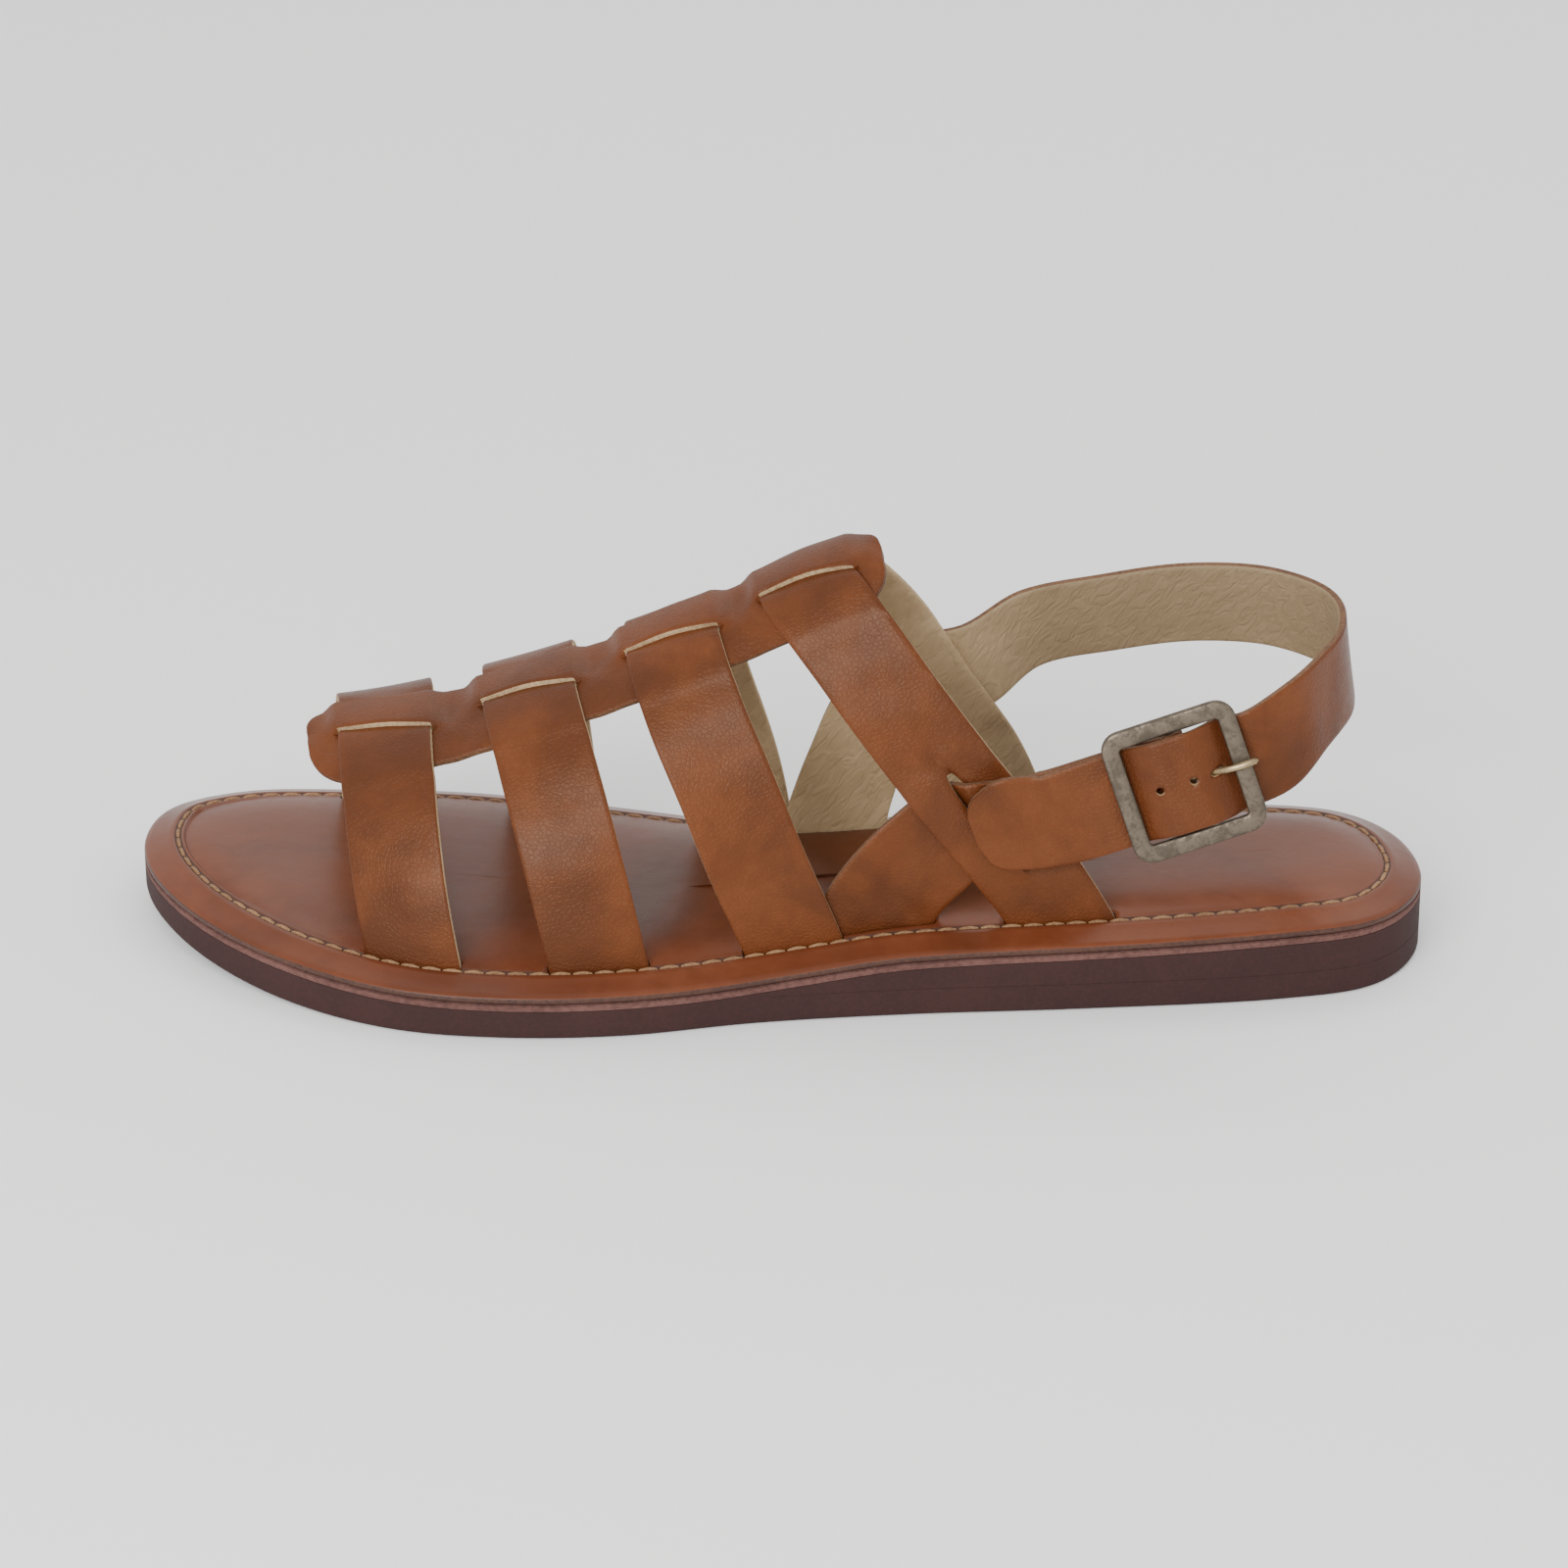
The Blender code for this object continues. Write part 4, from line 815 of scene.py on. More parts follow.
@dataclass(frozen=True)
class LeatherFinish:
    """Dressed leather: cloudy colour, sheen and grain."""

    name: str
    deep: Colour
    main: Colour
    tone_shift: Colour
    rough: float = 0.44
    coat: float = 0.06
    coat_rough: float = 0.28
    specular: float = 0.30
    pore_tint: float = 0.18
    glow: Colour = (1.0, 0.74, 0.52)
    cloud: float = 34.0
    grain: float = 950.0
    grain_depth: float = 0.00006
    wave_depth: float = 0.00035

    def make(self) -> bpy.types.Material:
        """Build the material."""
        book = Book(self.name)
        cloud = book.noise(self.cloud, 4.0, 0.6, 0.4)
        fine = book.noise(260.0, 5.0, 0.65)
        pores = book.cells(self.grain)
        hairs = book.noise(1400.0, 2.0, 0.5)
        streaks = book.noise(1.0, 3.0, 0.6, 0.6, book.stretch((90.0, 240.0, 60.0), (0.0, 0.0, 0.5)))
        tone = book.mix(book.band(cloud, 0.34, 0.62), self.deep, self.main)
        lift = book.band(cloud * 0.6 + fine * 0.4, 0.50, 0.70)
        tone = book.mix(lift * 0.45, tone, self.tone_shift)
        tone = book.mix(book.band(streaks, 0.56, 0.74) * 0.28, tone, self.deep)
        tone = book.mix(book.band(pores, 0.10, 0.0) * self.pore_tint, tone, self.deep)
        wave = book.bump(book.noise(120.0, 2.0, 0.5, 0.3), self.wave_depth, 0.55)
        relief = book.band(pores, 0.0, 0.22) + hairs * 0.5 + streaks * 0.6
        return book.surface(
            Base_Color=tone,
            Roughness=self.rough + (fine - 0.5) * 0.22 + (cloud - 0.5) * 0.16,
            Coat_Weight=self.coat,
            Coat_Roughness=self.coat_rough,
            Specular_IOR_Level=self.specular,
            Specular_Tint=self.glow,
            Normal=book.bump(relief, self.grain_depth, 0.8, wave),
        )


@dataclass(frozen=True)
class LiningFinish:
    """Undyed split leather with soft wrinkles across the strap, painted shade in the wrinkle troughs and
    painted shade towards the heel.
    """

    name: str
    light: Colour
    dark: Colour
    turn: Triple = (0.0, 0.6, 0.3)
    depth: float = 0.00026
    # x span and strength of the painted shade that darkens the lining towards the heel
    heel: tuple[float, float] = (-0.026, -0.066)
    heel_shade: float = 0.62

    def make(self) -> bpy.types.Material:
        """Build the material."""
        book = Book(self.name)
        cloud = book.noise(42.0, 4.0, 0.6)
        wrinkles = book.noise(1.0, 2.0, 0.5, 0.5, book.stretch((430.0, 430.0, 150.0), self.turn))
        creases = book.math("ABSOLUTE", wrinkles - 0.5)
        fibre = book.noise(1500.0, 4.0, 0.7)
        tone = book.mix(book.band(cloud * 0.7 + wrinkles * 0.3, 0.34, 0.64), self.dark, self.light)
        # Painted shade: the colour darkens along the wrinkle troughs.
        tone = book.mix(book.band(creases, 0.06, 0.0) * 0.30, tone, self.dark)
        # Painted shade: the lining darkens towards the heel end of the shoe.
        along = book.node("ShaderNodeSeparateXYZ", {}, {0: book.place}, "X")
        tone_shift = book.band(along, self.heel[0], self.heel[1]) * self.heel_shade
        tone = book.mix(tone_shift, tone, tuple(0.42 * part for part in self.dark))
        relief = book.band(creases, 0.0, 0.14)
        return book.surface(
            Base_Color=tone,
            Roughness=0.66 + fibre * 0.2,
            Normal=book.bump(fibre, 0.00008, 0.5, book.bump(relief, self.depth, 0.55)),
        )


@dataclass(frozen=True)
class RawFinish:
    """Cut or matt surface with a fibrous or crumbly relief."""

    name: str
    light: Colour
    dark: Colour
    rough: float = 0.85
    scale: float = 900.0
    stretch: Triple = (1.0, 1.0, 1.0)
    depth: float = 0.00012
    speck: float = 0.35

    def make(self) -> bpy.types.Material:
        """Build the material."""
        book = Book(self.name)
        size = tuple(self.scale * share for share in self.stretch)
        fibre = book.noise(1.0, 5.0, 0.7, 0.2, book.stretch(size))
        cloud = book.noise(55.0, 3.0, 0.6)
        specks = book.cells(self.scale * 1.3, "F1")
        tone = book.mix(book.band(fibre * 0.65 + cloud * 0.35, 0.36, 0.64), self.dark, self.light)
        tone = book.mix(book.band(specks, 0.30, 0.12) * self.speck, tone, self.dark)
        return book.surface(
            Base_Color=tone,
            Specular_IOR_Level=0.30,
            Roughness=self.rough + (fibre - 0.5) * 0.2,
            Normal=book.bump(fibre + book.band(specks, 0.1, 0.5) * 0.5, self.depth, 0.7),
        )


@dataclass(frozen=True)
class MetalFinish:
    """Antique cast metal, dark in the hollows and rubbed bright."""

    name: str
    bright: Colour
    dark: Colour
    rough: float = 0.40

    def make(self) -> bpy.types.Material:
        """Build the material."""
        book = Book(self.name)
        cloud = book.noise(330.0, 5.0, 0.65, 0.5)
        fine = book.noise(1300.0, 4.0, 0.6)
        rubbed = book.band(cloud * 0.7 + fine * 0.3, 0.40, 0.60)
        return book.surface(
            Base_Color=book.mix(rubbed, self.dark, self.bright),
            Metallic=0.75 + rubbed * 0.25,
            Roughness=self.rough + (1.0 - rubbed) * 0.22,
            Normal=book.bump(cloud + fine * 0.4, 0.00012, 0.6),
        )


class Finishes:
    """All materials of the shoe and the floor."""

    def __init__(self) -> None:
        self.leather = LeatherFinish(
            "cognac_leather", (0.066, 0.0160, 0.0040), (0.106, 0.0265, 0.0065),
            (0.146, 0.0430, 0.0125)).make()
        self.footbed = LeatherFinish(
            "footbed_leather", (0.085, 0.0215, 0.0078), (0.125, 0.0320, 0.0115), (0.160, 0.0465, 0.0190),
            rough=0.33, coat=0.12, coat_rough=0.22, specular=0.28, pore_tint=0.05, glow=(1.0, 0.80, 0.68),
            cloud=22.0, grain=800.0, grain_depth=0.000006, wave_depth=0.0002).make()
        self.lining = LiningFinish("lining_leather", (0.440, 0.315, 0.175), (0.340, 0.238, 0.126)).make()
        self.raw = RawFinish(
            "raw_leather_edge", (0.520, 0.380, 0.220), (0.300, 0.190, 0.100), rough=0.88, scale=1300.0).make()
        self.dark_edge = RawFinish(
            "dark_cut_edge", (0.170, 0.085, 0.040), (0.080, 0.035, 0.018), rough=0.7, scale=1300.0).make()
        # Dark finish of the footbed's rim wall, also laid in the stitch groove as painted shade.
        self.edge = RawFinish(
            "burnished_edge_and_groove_shade", (0.075, 0.030, 0.018), (0.040, 0.016, 0.011), rough=0.5).make()
        self.thread = RawFinish(
            "waxed_thread", (0.330, 0.185, 0.090), (0.150, 0.072, 0.032), rough=0.60, scale=2200.0,
            depth=0.00008).make()
        self.band = RawFinish(
            "midsole_board", (0.140, 0.066, 0.055), (0.078, 0.034, 0.028), rough=0.92, scale=700.0,
            stretch=(1.0, 1.0, 1.6), depth=0.00022).make()
        self.rubber = RawFinish(
            "crumb_rubber", (0.038, 0.0135, 0.0120), (0.026, 0.0095, 0.0085), rough=0.82, scale=1000.0,
            depth=0.00014, speck=0.5).make()
        self.pewter = MetalFinish("antique_pewter", (0.150, 0.122, 0.092), (0.085, 0.068, 0.050)).make()
        self.brass = MetalFinish(
            "antique_brass", (0.400, 0.300, 0.170), (0.190, 0.135, 0.075), rough=0.34).make()
        book = Book("pale_floor")
        rough = 0.75 + (book.noise(9.0) - 0.5) * 0.06
        self.floor = book.surface(Base_Color=(0.94, 0.94, 0.935), Roughness=rough)

    @property
    def sheet(self) -> Materials:
        """Materials of a cut strap in slot order."""
        return [self.leather, self.lining, self.raw, self.raw]

    @property
    def burnished(self) -> Materials:
        """Materials of a strap with dark outer edges, in slot order."""
        return [self.leather, self.lining, self.raw, self.dark_edge]


def stand_for(thing: Thing, node: str) -> None:
    """Ride the only body and take the place of a CAD node, hiding it."""
    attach(thing, "root")
    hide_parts(node)


@dataclass
class Sole:
    """Outsole, heel wedge, midsole band and footbed with its stitches."""

    finishes: Finishes
    points: int = 480
    pitch: float = 0.0048
    thread_radius: float = 0.00046
    thread_sides: int = 8
    thread_cuts: int = 9
    twist: float = 2.2
    strand: float = 0.10
    slot_depth: float = 0.003
    pad_shares: tuple[float, ...] = (
        0.02, 0.05, 0.10, 0.16, 0.23, 0.31, 0.40, 0.50, 0.60, 0.70, 0.80, 0.90, 0.985)

    def ring(self, inset: float, height: np.ndarray | float) -> np.ndarray:
        """Ring round the sole, moved inward, at a height or heights."""
        step = len(LAST_FORM.walk) // self.points
        walk = LAST_FORM.walk[::step].copy()
        behind = walk[:, 0] < S.front
        for k in np.nonzero(behind != np.roll(behind, -1))[0]:
            pair = [k, (k + 1) % len(walk)]
            walk[pair] = self.seam(*walk[pair])
        flat = walk - inset * LAST_FORM.out[::step]
        return np.column_stack([flat, np.broadcast_to(height, len(flat))])

    @staticmethod
    def seam(first: np.ndarray, second: np.ndarray) -> np.ndarray:
        """Two points a hair apart where a step of the walk crosses the wedge's front."""
        share = (S.front - first[0]) / (second[0] - first[0])
        crossing = first + (second - first) * share
        hair = 1e-5 * unit(second - first)
        return np.array([crossing - hair, crossing + hair])

    def stations(self) -> np.ndarray:
        """Stations of the ring's points."""
        return self.ring(0.0, 0.0)[:, 0]

    @staticmethod
    def board_top(x: np.ndarray) -> np.ndarray:
        """Height of the midsole band's upper face at stations."""
        return LAST_FORM.rim(x) - S.insole_edge - S.gap

    def outsole(self) -> None:
        """Rubber sheet, flat below and lifted at the toe."""
        x = self.stations()
        past = np.clip(x / S.length - S.spring_start, 0.0, None)
        low = S.toe_spring * past ** 2 / (1 - S.spring_start) ** 2
        top = np.where(x < S.front, S.sole_sheet, self.board_top(x) - S.midsole_band)
        rings = [self.ring(S.sole_round * (1 - math.sin(a)), low + S.sole_round * (1 - math.cos(a)))
                 for a in np.linspace(0.0, math.pi / 2, 5)]
        rings += [self.ring(0.0, low + (top - low) * share) for share in (0.35, 0.7)]
        rings += [self.ring(0.0, top - S.bevel_rise), self.ring(S.bevel, top)]
        stand_for(Model.rings("outsole_rubber", rings, [self.finishes.rubber]), "outsole")

    def wedge(self) -> None:
        """Thin rubber wedge that makes the low heel."""
        flat = self.ring(0.0, 0.0)
        inside = self.ring(S.bevel, 0.0)
        toe = int(flat[:, 0].argmax())
        for ring, inset in ((flat, 0.0), (inside, S.bevel)):
            for span, side, sign in ((slice(0, toe), 0, -1), (slice(toe, None), 1, 1)):
                ahead = ring[span, 0] > S.front
                edge = float(np.interp(S.front, *LAST_FORM.edges[side].T)) + sign * inset
                ring[span][ahead] = (S.front, edge, 0.0)
        low, top = S.sole_sheet, self.board_top(flat[:, 0]) - S.midsole_band
        levels = ((inside, low), (flat, low + S.bevel_rise), (flat, top - S.bevel_rise), (inside, top))
        rings = []
        for source, height in levels:
            ring = source.copy()
            ring[:, 2] = height
            rings.append(ring)
        stand_for(Model.rings("heel_wedge_rubber", rings, [self.finishes.rubber]), "heel_wedge")

    def band(self) -> None:
        """Rough board between rubber and footbed."""
        top = self.board_top(self.stations())
        low = top - S.midsole_band
        rings = [self.ring(0.0002, low), self.ring(0.0, low + 0.00015), self.ring(0.0, top - 0.0003),
                 self.ring(0.0004, top)]
        stand_for(Model.rings("midsole_board_band", rings, [self.finishes.band]), "midsole")

    def footbed(self) -> None:
        """Leather footbed with a burnished rim, a stitch groove darkened with painted shade and a padded
        middle.
        """
        rim = LAST_FORM.rim(self.stations())
        groove = S.groove_width / 2 + 0.0008
        profile = [
            (0.0004, -S.insole_edge), (0.0, -S.insole_edge + 0.0004), (0.0, -0.0006), (0.00012, -0.00022),
            (0.0005, 0.00012), (0.0016, 0.00050), (S.stitch_in / 2, S.rim_rise * 0.52),
            (S.stitch_in * 0.72, S.rim_rise * 0.80), (S.stitch_in - groove, S.rim_rise * 0.97),
            (S.stitch_in - groove * 0.62, S.rim_rise * 0.93),
            (S.stitch_in - groove * 0.35, S.rim_rise - 0.0004),
            (S.stitch_in, S.rim_rise - S.groove_depth), (S.stitch_in + groove * 0.35, S.rim_rise - 0.0004),
            (S.stitch_in + groove * 0.62, S.rim_rise - 0.00008), (S.stitch_in + groove, S.rim_rise),
        ]
        rings = [self.ring(inset, rim + height) for inset, height in profile]
        # Slot 1, the dark edge finish, covers the rim's outer wall and the stitch groove; in the groove it is
        # painted shade.
        slots = [1, 1, 1] + [0] * 6 + [1] * 4 + [0] * (len(profile) - 14)
        edge = self.ring(S.stitch_in + groove, 0.0)
        reach = 0.5 * S.ball_width * 0.62
        axis_x = np.clip(edge[:, 0], LAST_FORM.heel + reach, LAST_FORM.toe - reach)
        outer, inner = (np.interp(axis_x, *edge_rows.T) for edge_rows in LAST_FORM.edges)
        axis = np.column_stack([axis_x, (outer + inner) / 2])
        for share in self.pad_shares:
            flat = edge[:, :2] + (axis - edge[:, :2]) * share
            height = LAST_FORM.rim(flat[:, 0]) + S.rim_rise + S.pad_rise * Curve(PAD)(share)[0]
            rings.append(np.column_stack([flat, height]))
            slots.append(0)
        materials = [self.finishes.footbed, self.finishes.edge]
        bed = Model.rings("footbed", rings, materials, slots=slots, sharp=50.0)
        Model.cut(bed, [self.slot_tool()])
        stand_for(bed, "insole")

    def slot_tool(self) -> Thing:
        """Cutter for the slots that every strap enters."""
        tools = []
        widths = np.linspace(-1.0, 1.0, 9)
        for name, strap in STRAPS.items():
            for start, sign in ((0.0, 1), (strap.length, -1)):
                places = [strap.surface(np.full(9, start + sign * step), widths * (S.half + S.gap))
                          for step in (0.0, 0.004, 0.008)]
                tools.append(self.slab(name + "_slot", [LAST_FORM.point(*place) for place in places]))
        for side in (1, -1):
            rows = []
            for along in (0.0, 0.005, 0.010, 0.015):
                at = along if side > 0 else PATH.length - along
                centre, width, half, outward = PATH.row(at)
                lift = -S.ply + 0.4 * along * (S.front_lift / PATH.outer_crossing[0])
                rows.append([centre + outward * lift + width * (half + S.gap) * t for t in widths])
            tools.append(self.slab("quarter_slot", rows))
        return Model.join(tools, "strap_slots")

    def slab(self, name: str, rows: list) -> Thing:
        """Closed plate on rows of points, a fit thicker than the leather and reaching lower."""
        grid = np.array(rows)
        grid = np.vstack([grid[:1] - (0.0, 0.0, self.slot_depth), grid])
        outward = unit(np.cross(np.gradient(grid, axis=0), np.gradient(grid, axis=1)))
        thickness = S.leather + 2 * S.gap + 2 * Sheet.EDGE_ROUND
        return Sheet(name, grid, outward, [self.finishes.raw] * 4, thickness=thickness).thing

    def stitches(self) -> None:
        """Waxed thread that dips into the groove at every hole."""
        seats = LAST_FORM.rim(LAST_FORM.walk[:, 0]) + S.rim_rise - S.groove_depth
        line = np.column_stack([LAST_FORM.walk - S.stitch_in * LAST_FORM.out, seats])
        line = np.vstack([line, line[:1]])
        at = walked(line)
        count = round(at[-1] / self.pitch)
        length = at[-1] / count
        points, faces = [], []
        sides, cuts = self.thread_sides, self.thread_cuts
        shares = np.linspace(0.07, 0.93, cuts)
        for n in range(count):
            start = n * length
            base = len(points)
            centre = np.column_stack([np.interp(start + shares * length, at, line[:, k]) for k in range(3)])
            bow = np.sin(shares * math.pi) ** 0.7
            centre[:, 2] += self.thread_radius * (1.15 * bow - 0.60)
            ahead = unit(np.gradient(centre, axis=0))
            side = unit(np.cross(ahead, (0.0, 0.0, 1.0)))
            up = np.cross(side, ahead)
            girth = self.thread_radius * (0.62 + 0.38 * bow)
            for k in range(cuts):
                for m in range(sides):
                    turn = 2 * math.pi * m / sides + self.twist * shares[k]
                    spoke = side[k] * math.cos(turn) + up[k] * math.sin(turn)
                    points.append(centre[k] + spoke * girth[k] * (1.0 + self.strand * math.cos(2 * turn)))
            for k in range(cuts - 1):
                for m in range(sides):
                    a, b = base + k * sides + m, base + k * sides + (m + 1) % sides
                    faces.append((a, b, b + sides, a + sides))
            faces.append(tuple(range(base, base + sides))[::-1])
            faces.append(tuple(range(base + (cuts - 1) * sides, base + cuts * sides)))
        thing = Model.piece("footbed_stitches", np.array(points), faces, [self.finishes.thread])
        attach(thing, "root")

    def build(self) -> None:
        """Build every layer."""
        self.outsole()
        self.wedge()
        self.band()
        self.footbed()
        self.stitches()


@dataclass
class Upper:
    """Four cross straps woven through the spine band."""

    finishes: Finishes
    step: float = 0.0013
    slit_rim: tuple[float, ...] = (0.0, 0.0004, 0.0016, 0.0034, 0.0052, 0.0070, 0.0088)
    end_shares: tuple[float, ...] = (0.01, 0.03, 0.08, 0.16, 0.28, 0.45, 0.7, 1.0)
    band_shares: tuple[float, ...] = (1.0, 0.972, 0.9, 0.8, 0.68, 0.55, 0.42, 0.3, 0.2)
    slit_shares: tuple[float, ...] = (1.0, 0.985, 0.93, -0.93, -0.985, -1.0)
    band_step: float = 0.0011
    least_step: float = 0.00004
    lip: float = 0.0002
    settle: float = 0.0042
    settle_soft: float = 0.0040
    ripple: float = 0.00030
    ripple_across: float = 420.0
    ripple_along: float = 380.0
    slant_fade: tuple[float, float] = (0.004, 0.014)
    quarter_fade: float = 0.0060

    @staticmethod
    def weave(distance: np.ndarray, across: np.ndarray) -> np.ndarray:
        """Height of a strap's middle: on the spine's outer half, then under its inner half."""
        out = ease(distance, S.spine_half + S.climb_start, S.spine_half + S.climb_end)
        under = ease(distance + S.slit_slant * across, S.slit_half, -S.slit_half)
        back = ease(distance, -S.spine_half - S.climb_end, -S.spine_half - S.climb_start)
        bell = np.cos(np.clip(across / S.half, -1, 1) * math.pi / 2) ** 2
        return S.over * out * (1 - 2 * under + back) + S.swell * bell * (under - back)

    def strap(self, name: str) -> Thing:
        """One cross strap as a sheet with its slits and creases."""
        strap = STRAPS[name]
        marks = [0.0, strap.crossing - S.slit_half, strap.crossing + S.slit_half, strap.length]
        rear = name == "instep"
        reach = S.quarter_slit / 2
        slits = (S.outer_slit, INNER_SLIT) if rear else ()
        for slit in slits:
            marks += [slit + sign * (reach - inset) for sign in (-1, 1) for inset in self.slit_rim[:3]]
        rows = spread(marks, self.step)
        across = np.tile(ACROSS * S.half, (len(rows), 1))
        missing = None
        if rear:
            near = np.min([np.abs(rows - slit) for slit in slits], axis=0)
            lens = np.sqrt(np.clip(1 - (near / reach) ** 2, 0.0, 1.0))
            gap = S.quarter_slit_tip + (S.quarter_slit_half - S.quarter_slit_tip) * lens
            half = [np.minimum(gap + extra, S.half - self.slit_rim[2]) for extra in self.slit_rim]
            outer = [np.full(len(rows), S.half * share) for share in (0.965, 1.0)]
            right = np.stack(half + outer, axis=1)
            across = np.hstack([-right[:, ::-1], right])
            middle = (rows[1:] + rows[:-1]) / 2
            open_row = np.min([np.abs(middle - slit) for slit in slits], axis=0) < reach
            missing = np.zeros((len(rows) - 1, across.shape[1] - 1), bool)
            missing[open_row, right.shape[1] - 1] = True
        along = np.tile(rows[:, None], (1, across.shape[1]))
        slant = S.slit_slant * (1 - ease(np.abs(along - strap.crossing), *self.slant_fade))
        x, turn = strap.surface(along + slant * across, across)
        height = self.weave(LAST_FORM.across_spine(x, turn), across)
        if rear:
            near = np.minimum(np.abs(along - quarter_middle(S.outer_slit, across, 1)),
                              np.abs(along - quarter_middle(INNER_SLIT, across, -1)))
            share = ease(near, reach + self.quarter_fade, S.half + S.climb_end)
            height = height + share * np.where(across > 0, S.front_lift, -S.rear_drop)
        height = height + folds(name, along, across)
        grid = LAST_FORM.point(x, turn) + LAST_FORM.normal(x, turn) * height[..., None]
        return Sheet(name + "_strap", grid, LAST_FORM.normal(x, turn), self.finishes.sheet, missing).thing

    def spine(self) -> Thing:
        """Spine band with a slit and a raised inner half at every cross strap."""
        crossings = sorted((float(s.surface(s.crossing, 0.0)[0]) for s in STRAPS.values()), reverse=True)
        stretch = {}
        for centre in crossings:
            turn = LAST_FORM.spine_turn(centre, 0.0)
            stretch[centre] = float(np.linalg.norm(LAST_FORM.stride(centre, turn))) / STRIDE
        toe, heel = SPINE_TOE * S.length, SPINE_INSTEP * S.length
        marks = [toe, heel]
        marks += [toe - S.end_radius * share for share in self.end_shares]
        marks += [heel + S.end_radius * share for share in self.end_shares]
        for centre in crossings:
            reach = S.slit_reach / stretch[centre]
            marks += [centre - reach * share for share in self.slit_shares]
        rows = spread(marks, self.band_step)[::-1]
        rows = np.array([row for n, row in enumerate(rows) if n == 0 or rows[n - 1] - row > self.least_step])
        middle, outward, missing = [], [], []
        for row in rows:
            near = min(crossings, key=lambda centre: abs(row - centre))
            along = (row - near) * stretch[near]
            lens = math.sqrt(max(0.0, 1 - (along / S.slit_reach) ** 2))
            gap = S.slit_end + (S.slit_half - S.slit_end) * lens
            rounding = end_loss(min(toe - row, row - heel) / S.end_radius)
            narrow = 1 - rounding * S.end_radius / S.spine_half
            bell = math.cos(min(1.0, abs(along) / S.half) * math.pi / 2) ** 2
            window = 1 - float(ease(abs(along), S.slit_reach - self.lip, S.slit_reach + self.settle))
            soft = float(ease(abs(along), S.slit_reach - self.lip, S.slit_reach + self.settle_soft))
            soft = 0.0001 + 0.0075 * soft
            slack = S.slack * (1 - window) if row > crossings[-1] else 0.0
            shift = -S.slit_slant * max(-S.slit_reach, min(S.slit_reach, along)) * (0.3 + 0.7 * window)
            half = [S.spine_half * share for share in self.band_shares] + [gap + self.slit_rim[1], gap]
            line, rise = [], []
            for side in half + [-place for place in half[::-1]]:
                across = side * narrow + shift * (1 - abs(side) / S.spine_half)
                x = row + S.skew * across
                turn = LAST_FORM.spine_turn(x, across)
                inner = float(ease(-side, -soft, soft))
                lip = 1 - 0.35 * float(ease(-side, 0.002, S.spine_half))
                raised = S.bridge_lift * window + S.swell * bell * lip
                height = -slack + inner * raised - (1 - inner) * S.margin_drop * window
                waves = math.sin(side * self.ripple_across) * math.sin(row * self.ripple_along)
                height += self.ripple * waves * (1 - window)
                rise.append(LAST_FORM.normal(np.array(x), np.array(turn)))
                line.append(LAST_FORM.point(x, turn) + rise[-1] * height)
            middle.append(line)
            outward.append(rise)
        for first, second in zip(rows[:-1], rows[1:]):
            centre = (first + second) / 2
            cut = any(abs(centre - c) * stretch[c] < S.slit_reach for c in crossings)
            slit = len(self.band_shares) + 1
            missing.append([cut and k == slit for k in range(2 * slit + 1)])
        materials = self.finishes.burnished
        return Sheet("spine_band", np.array(middle), np.array(outward), materials, np.array(missing)).thing

    def build(self) -> None:
        """Build the straps and the band."""
        straps = Model.join([self.strap(name) for name in CROSS_STRAPS], "cross_straps")
        stand_for(straps, "upper")
        stand_for(self.spine(), "upper")


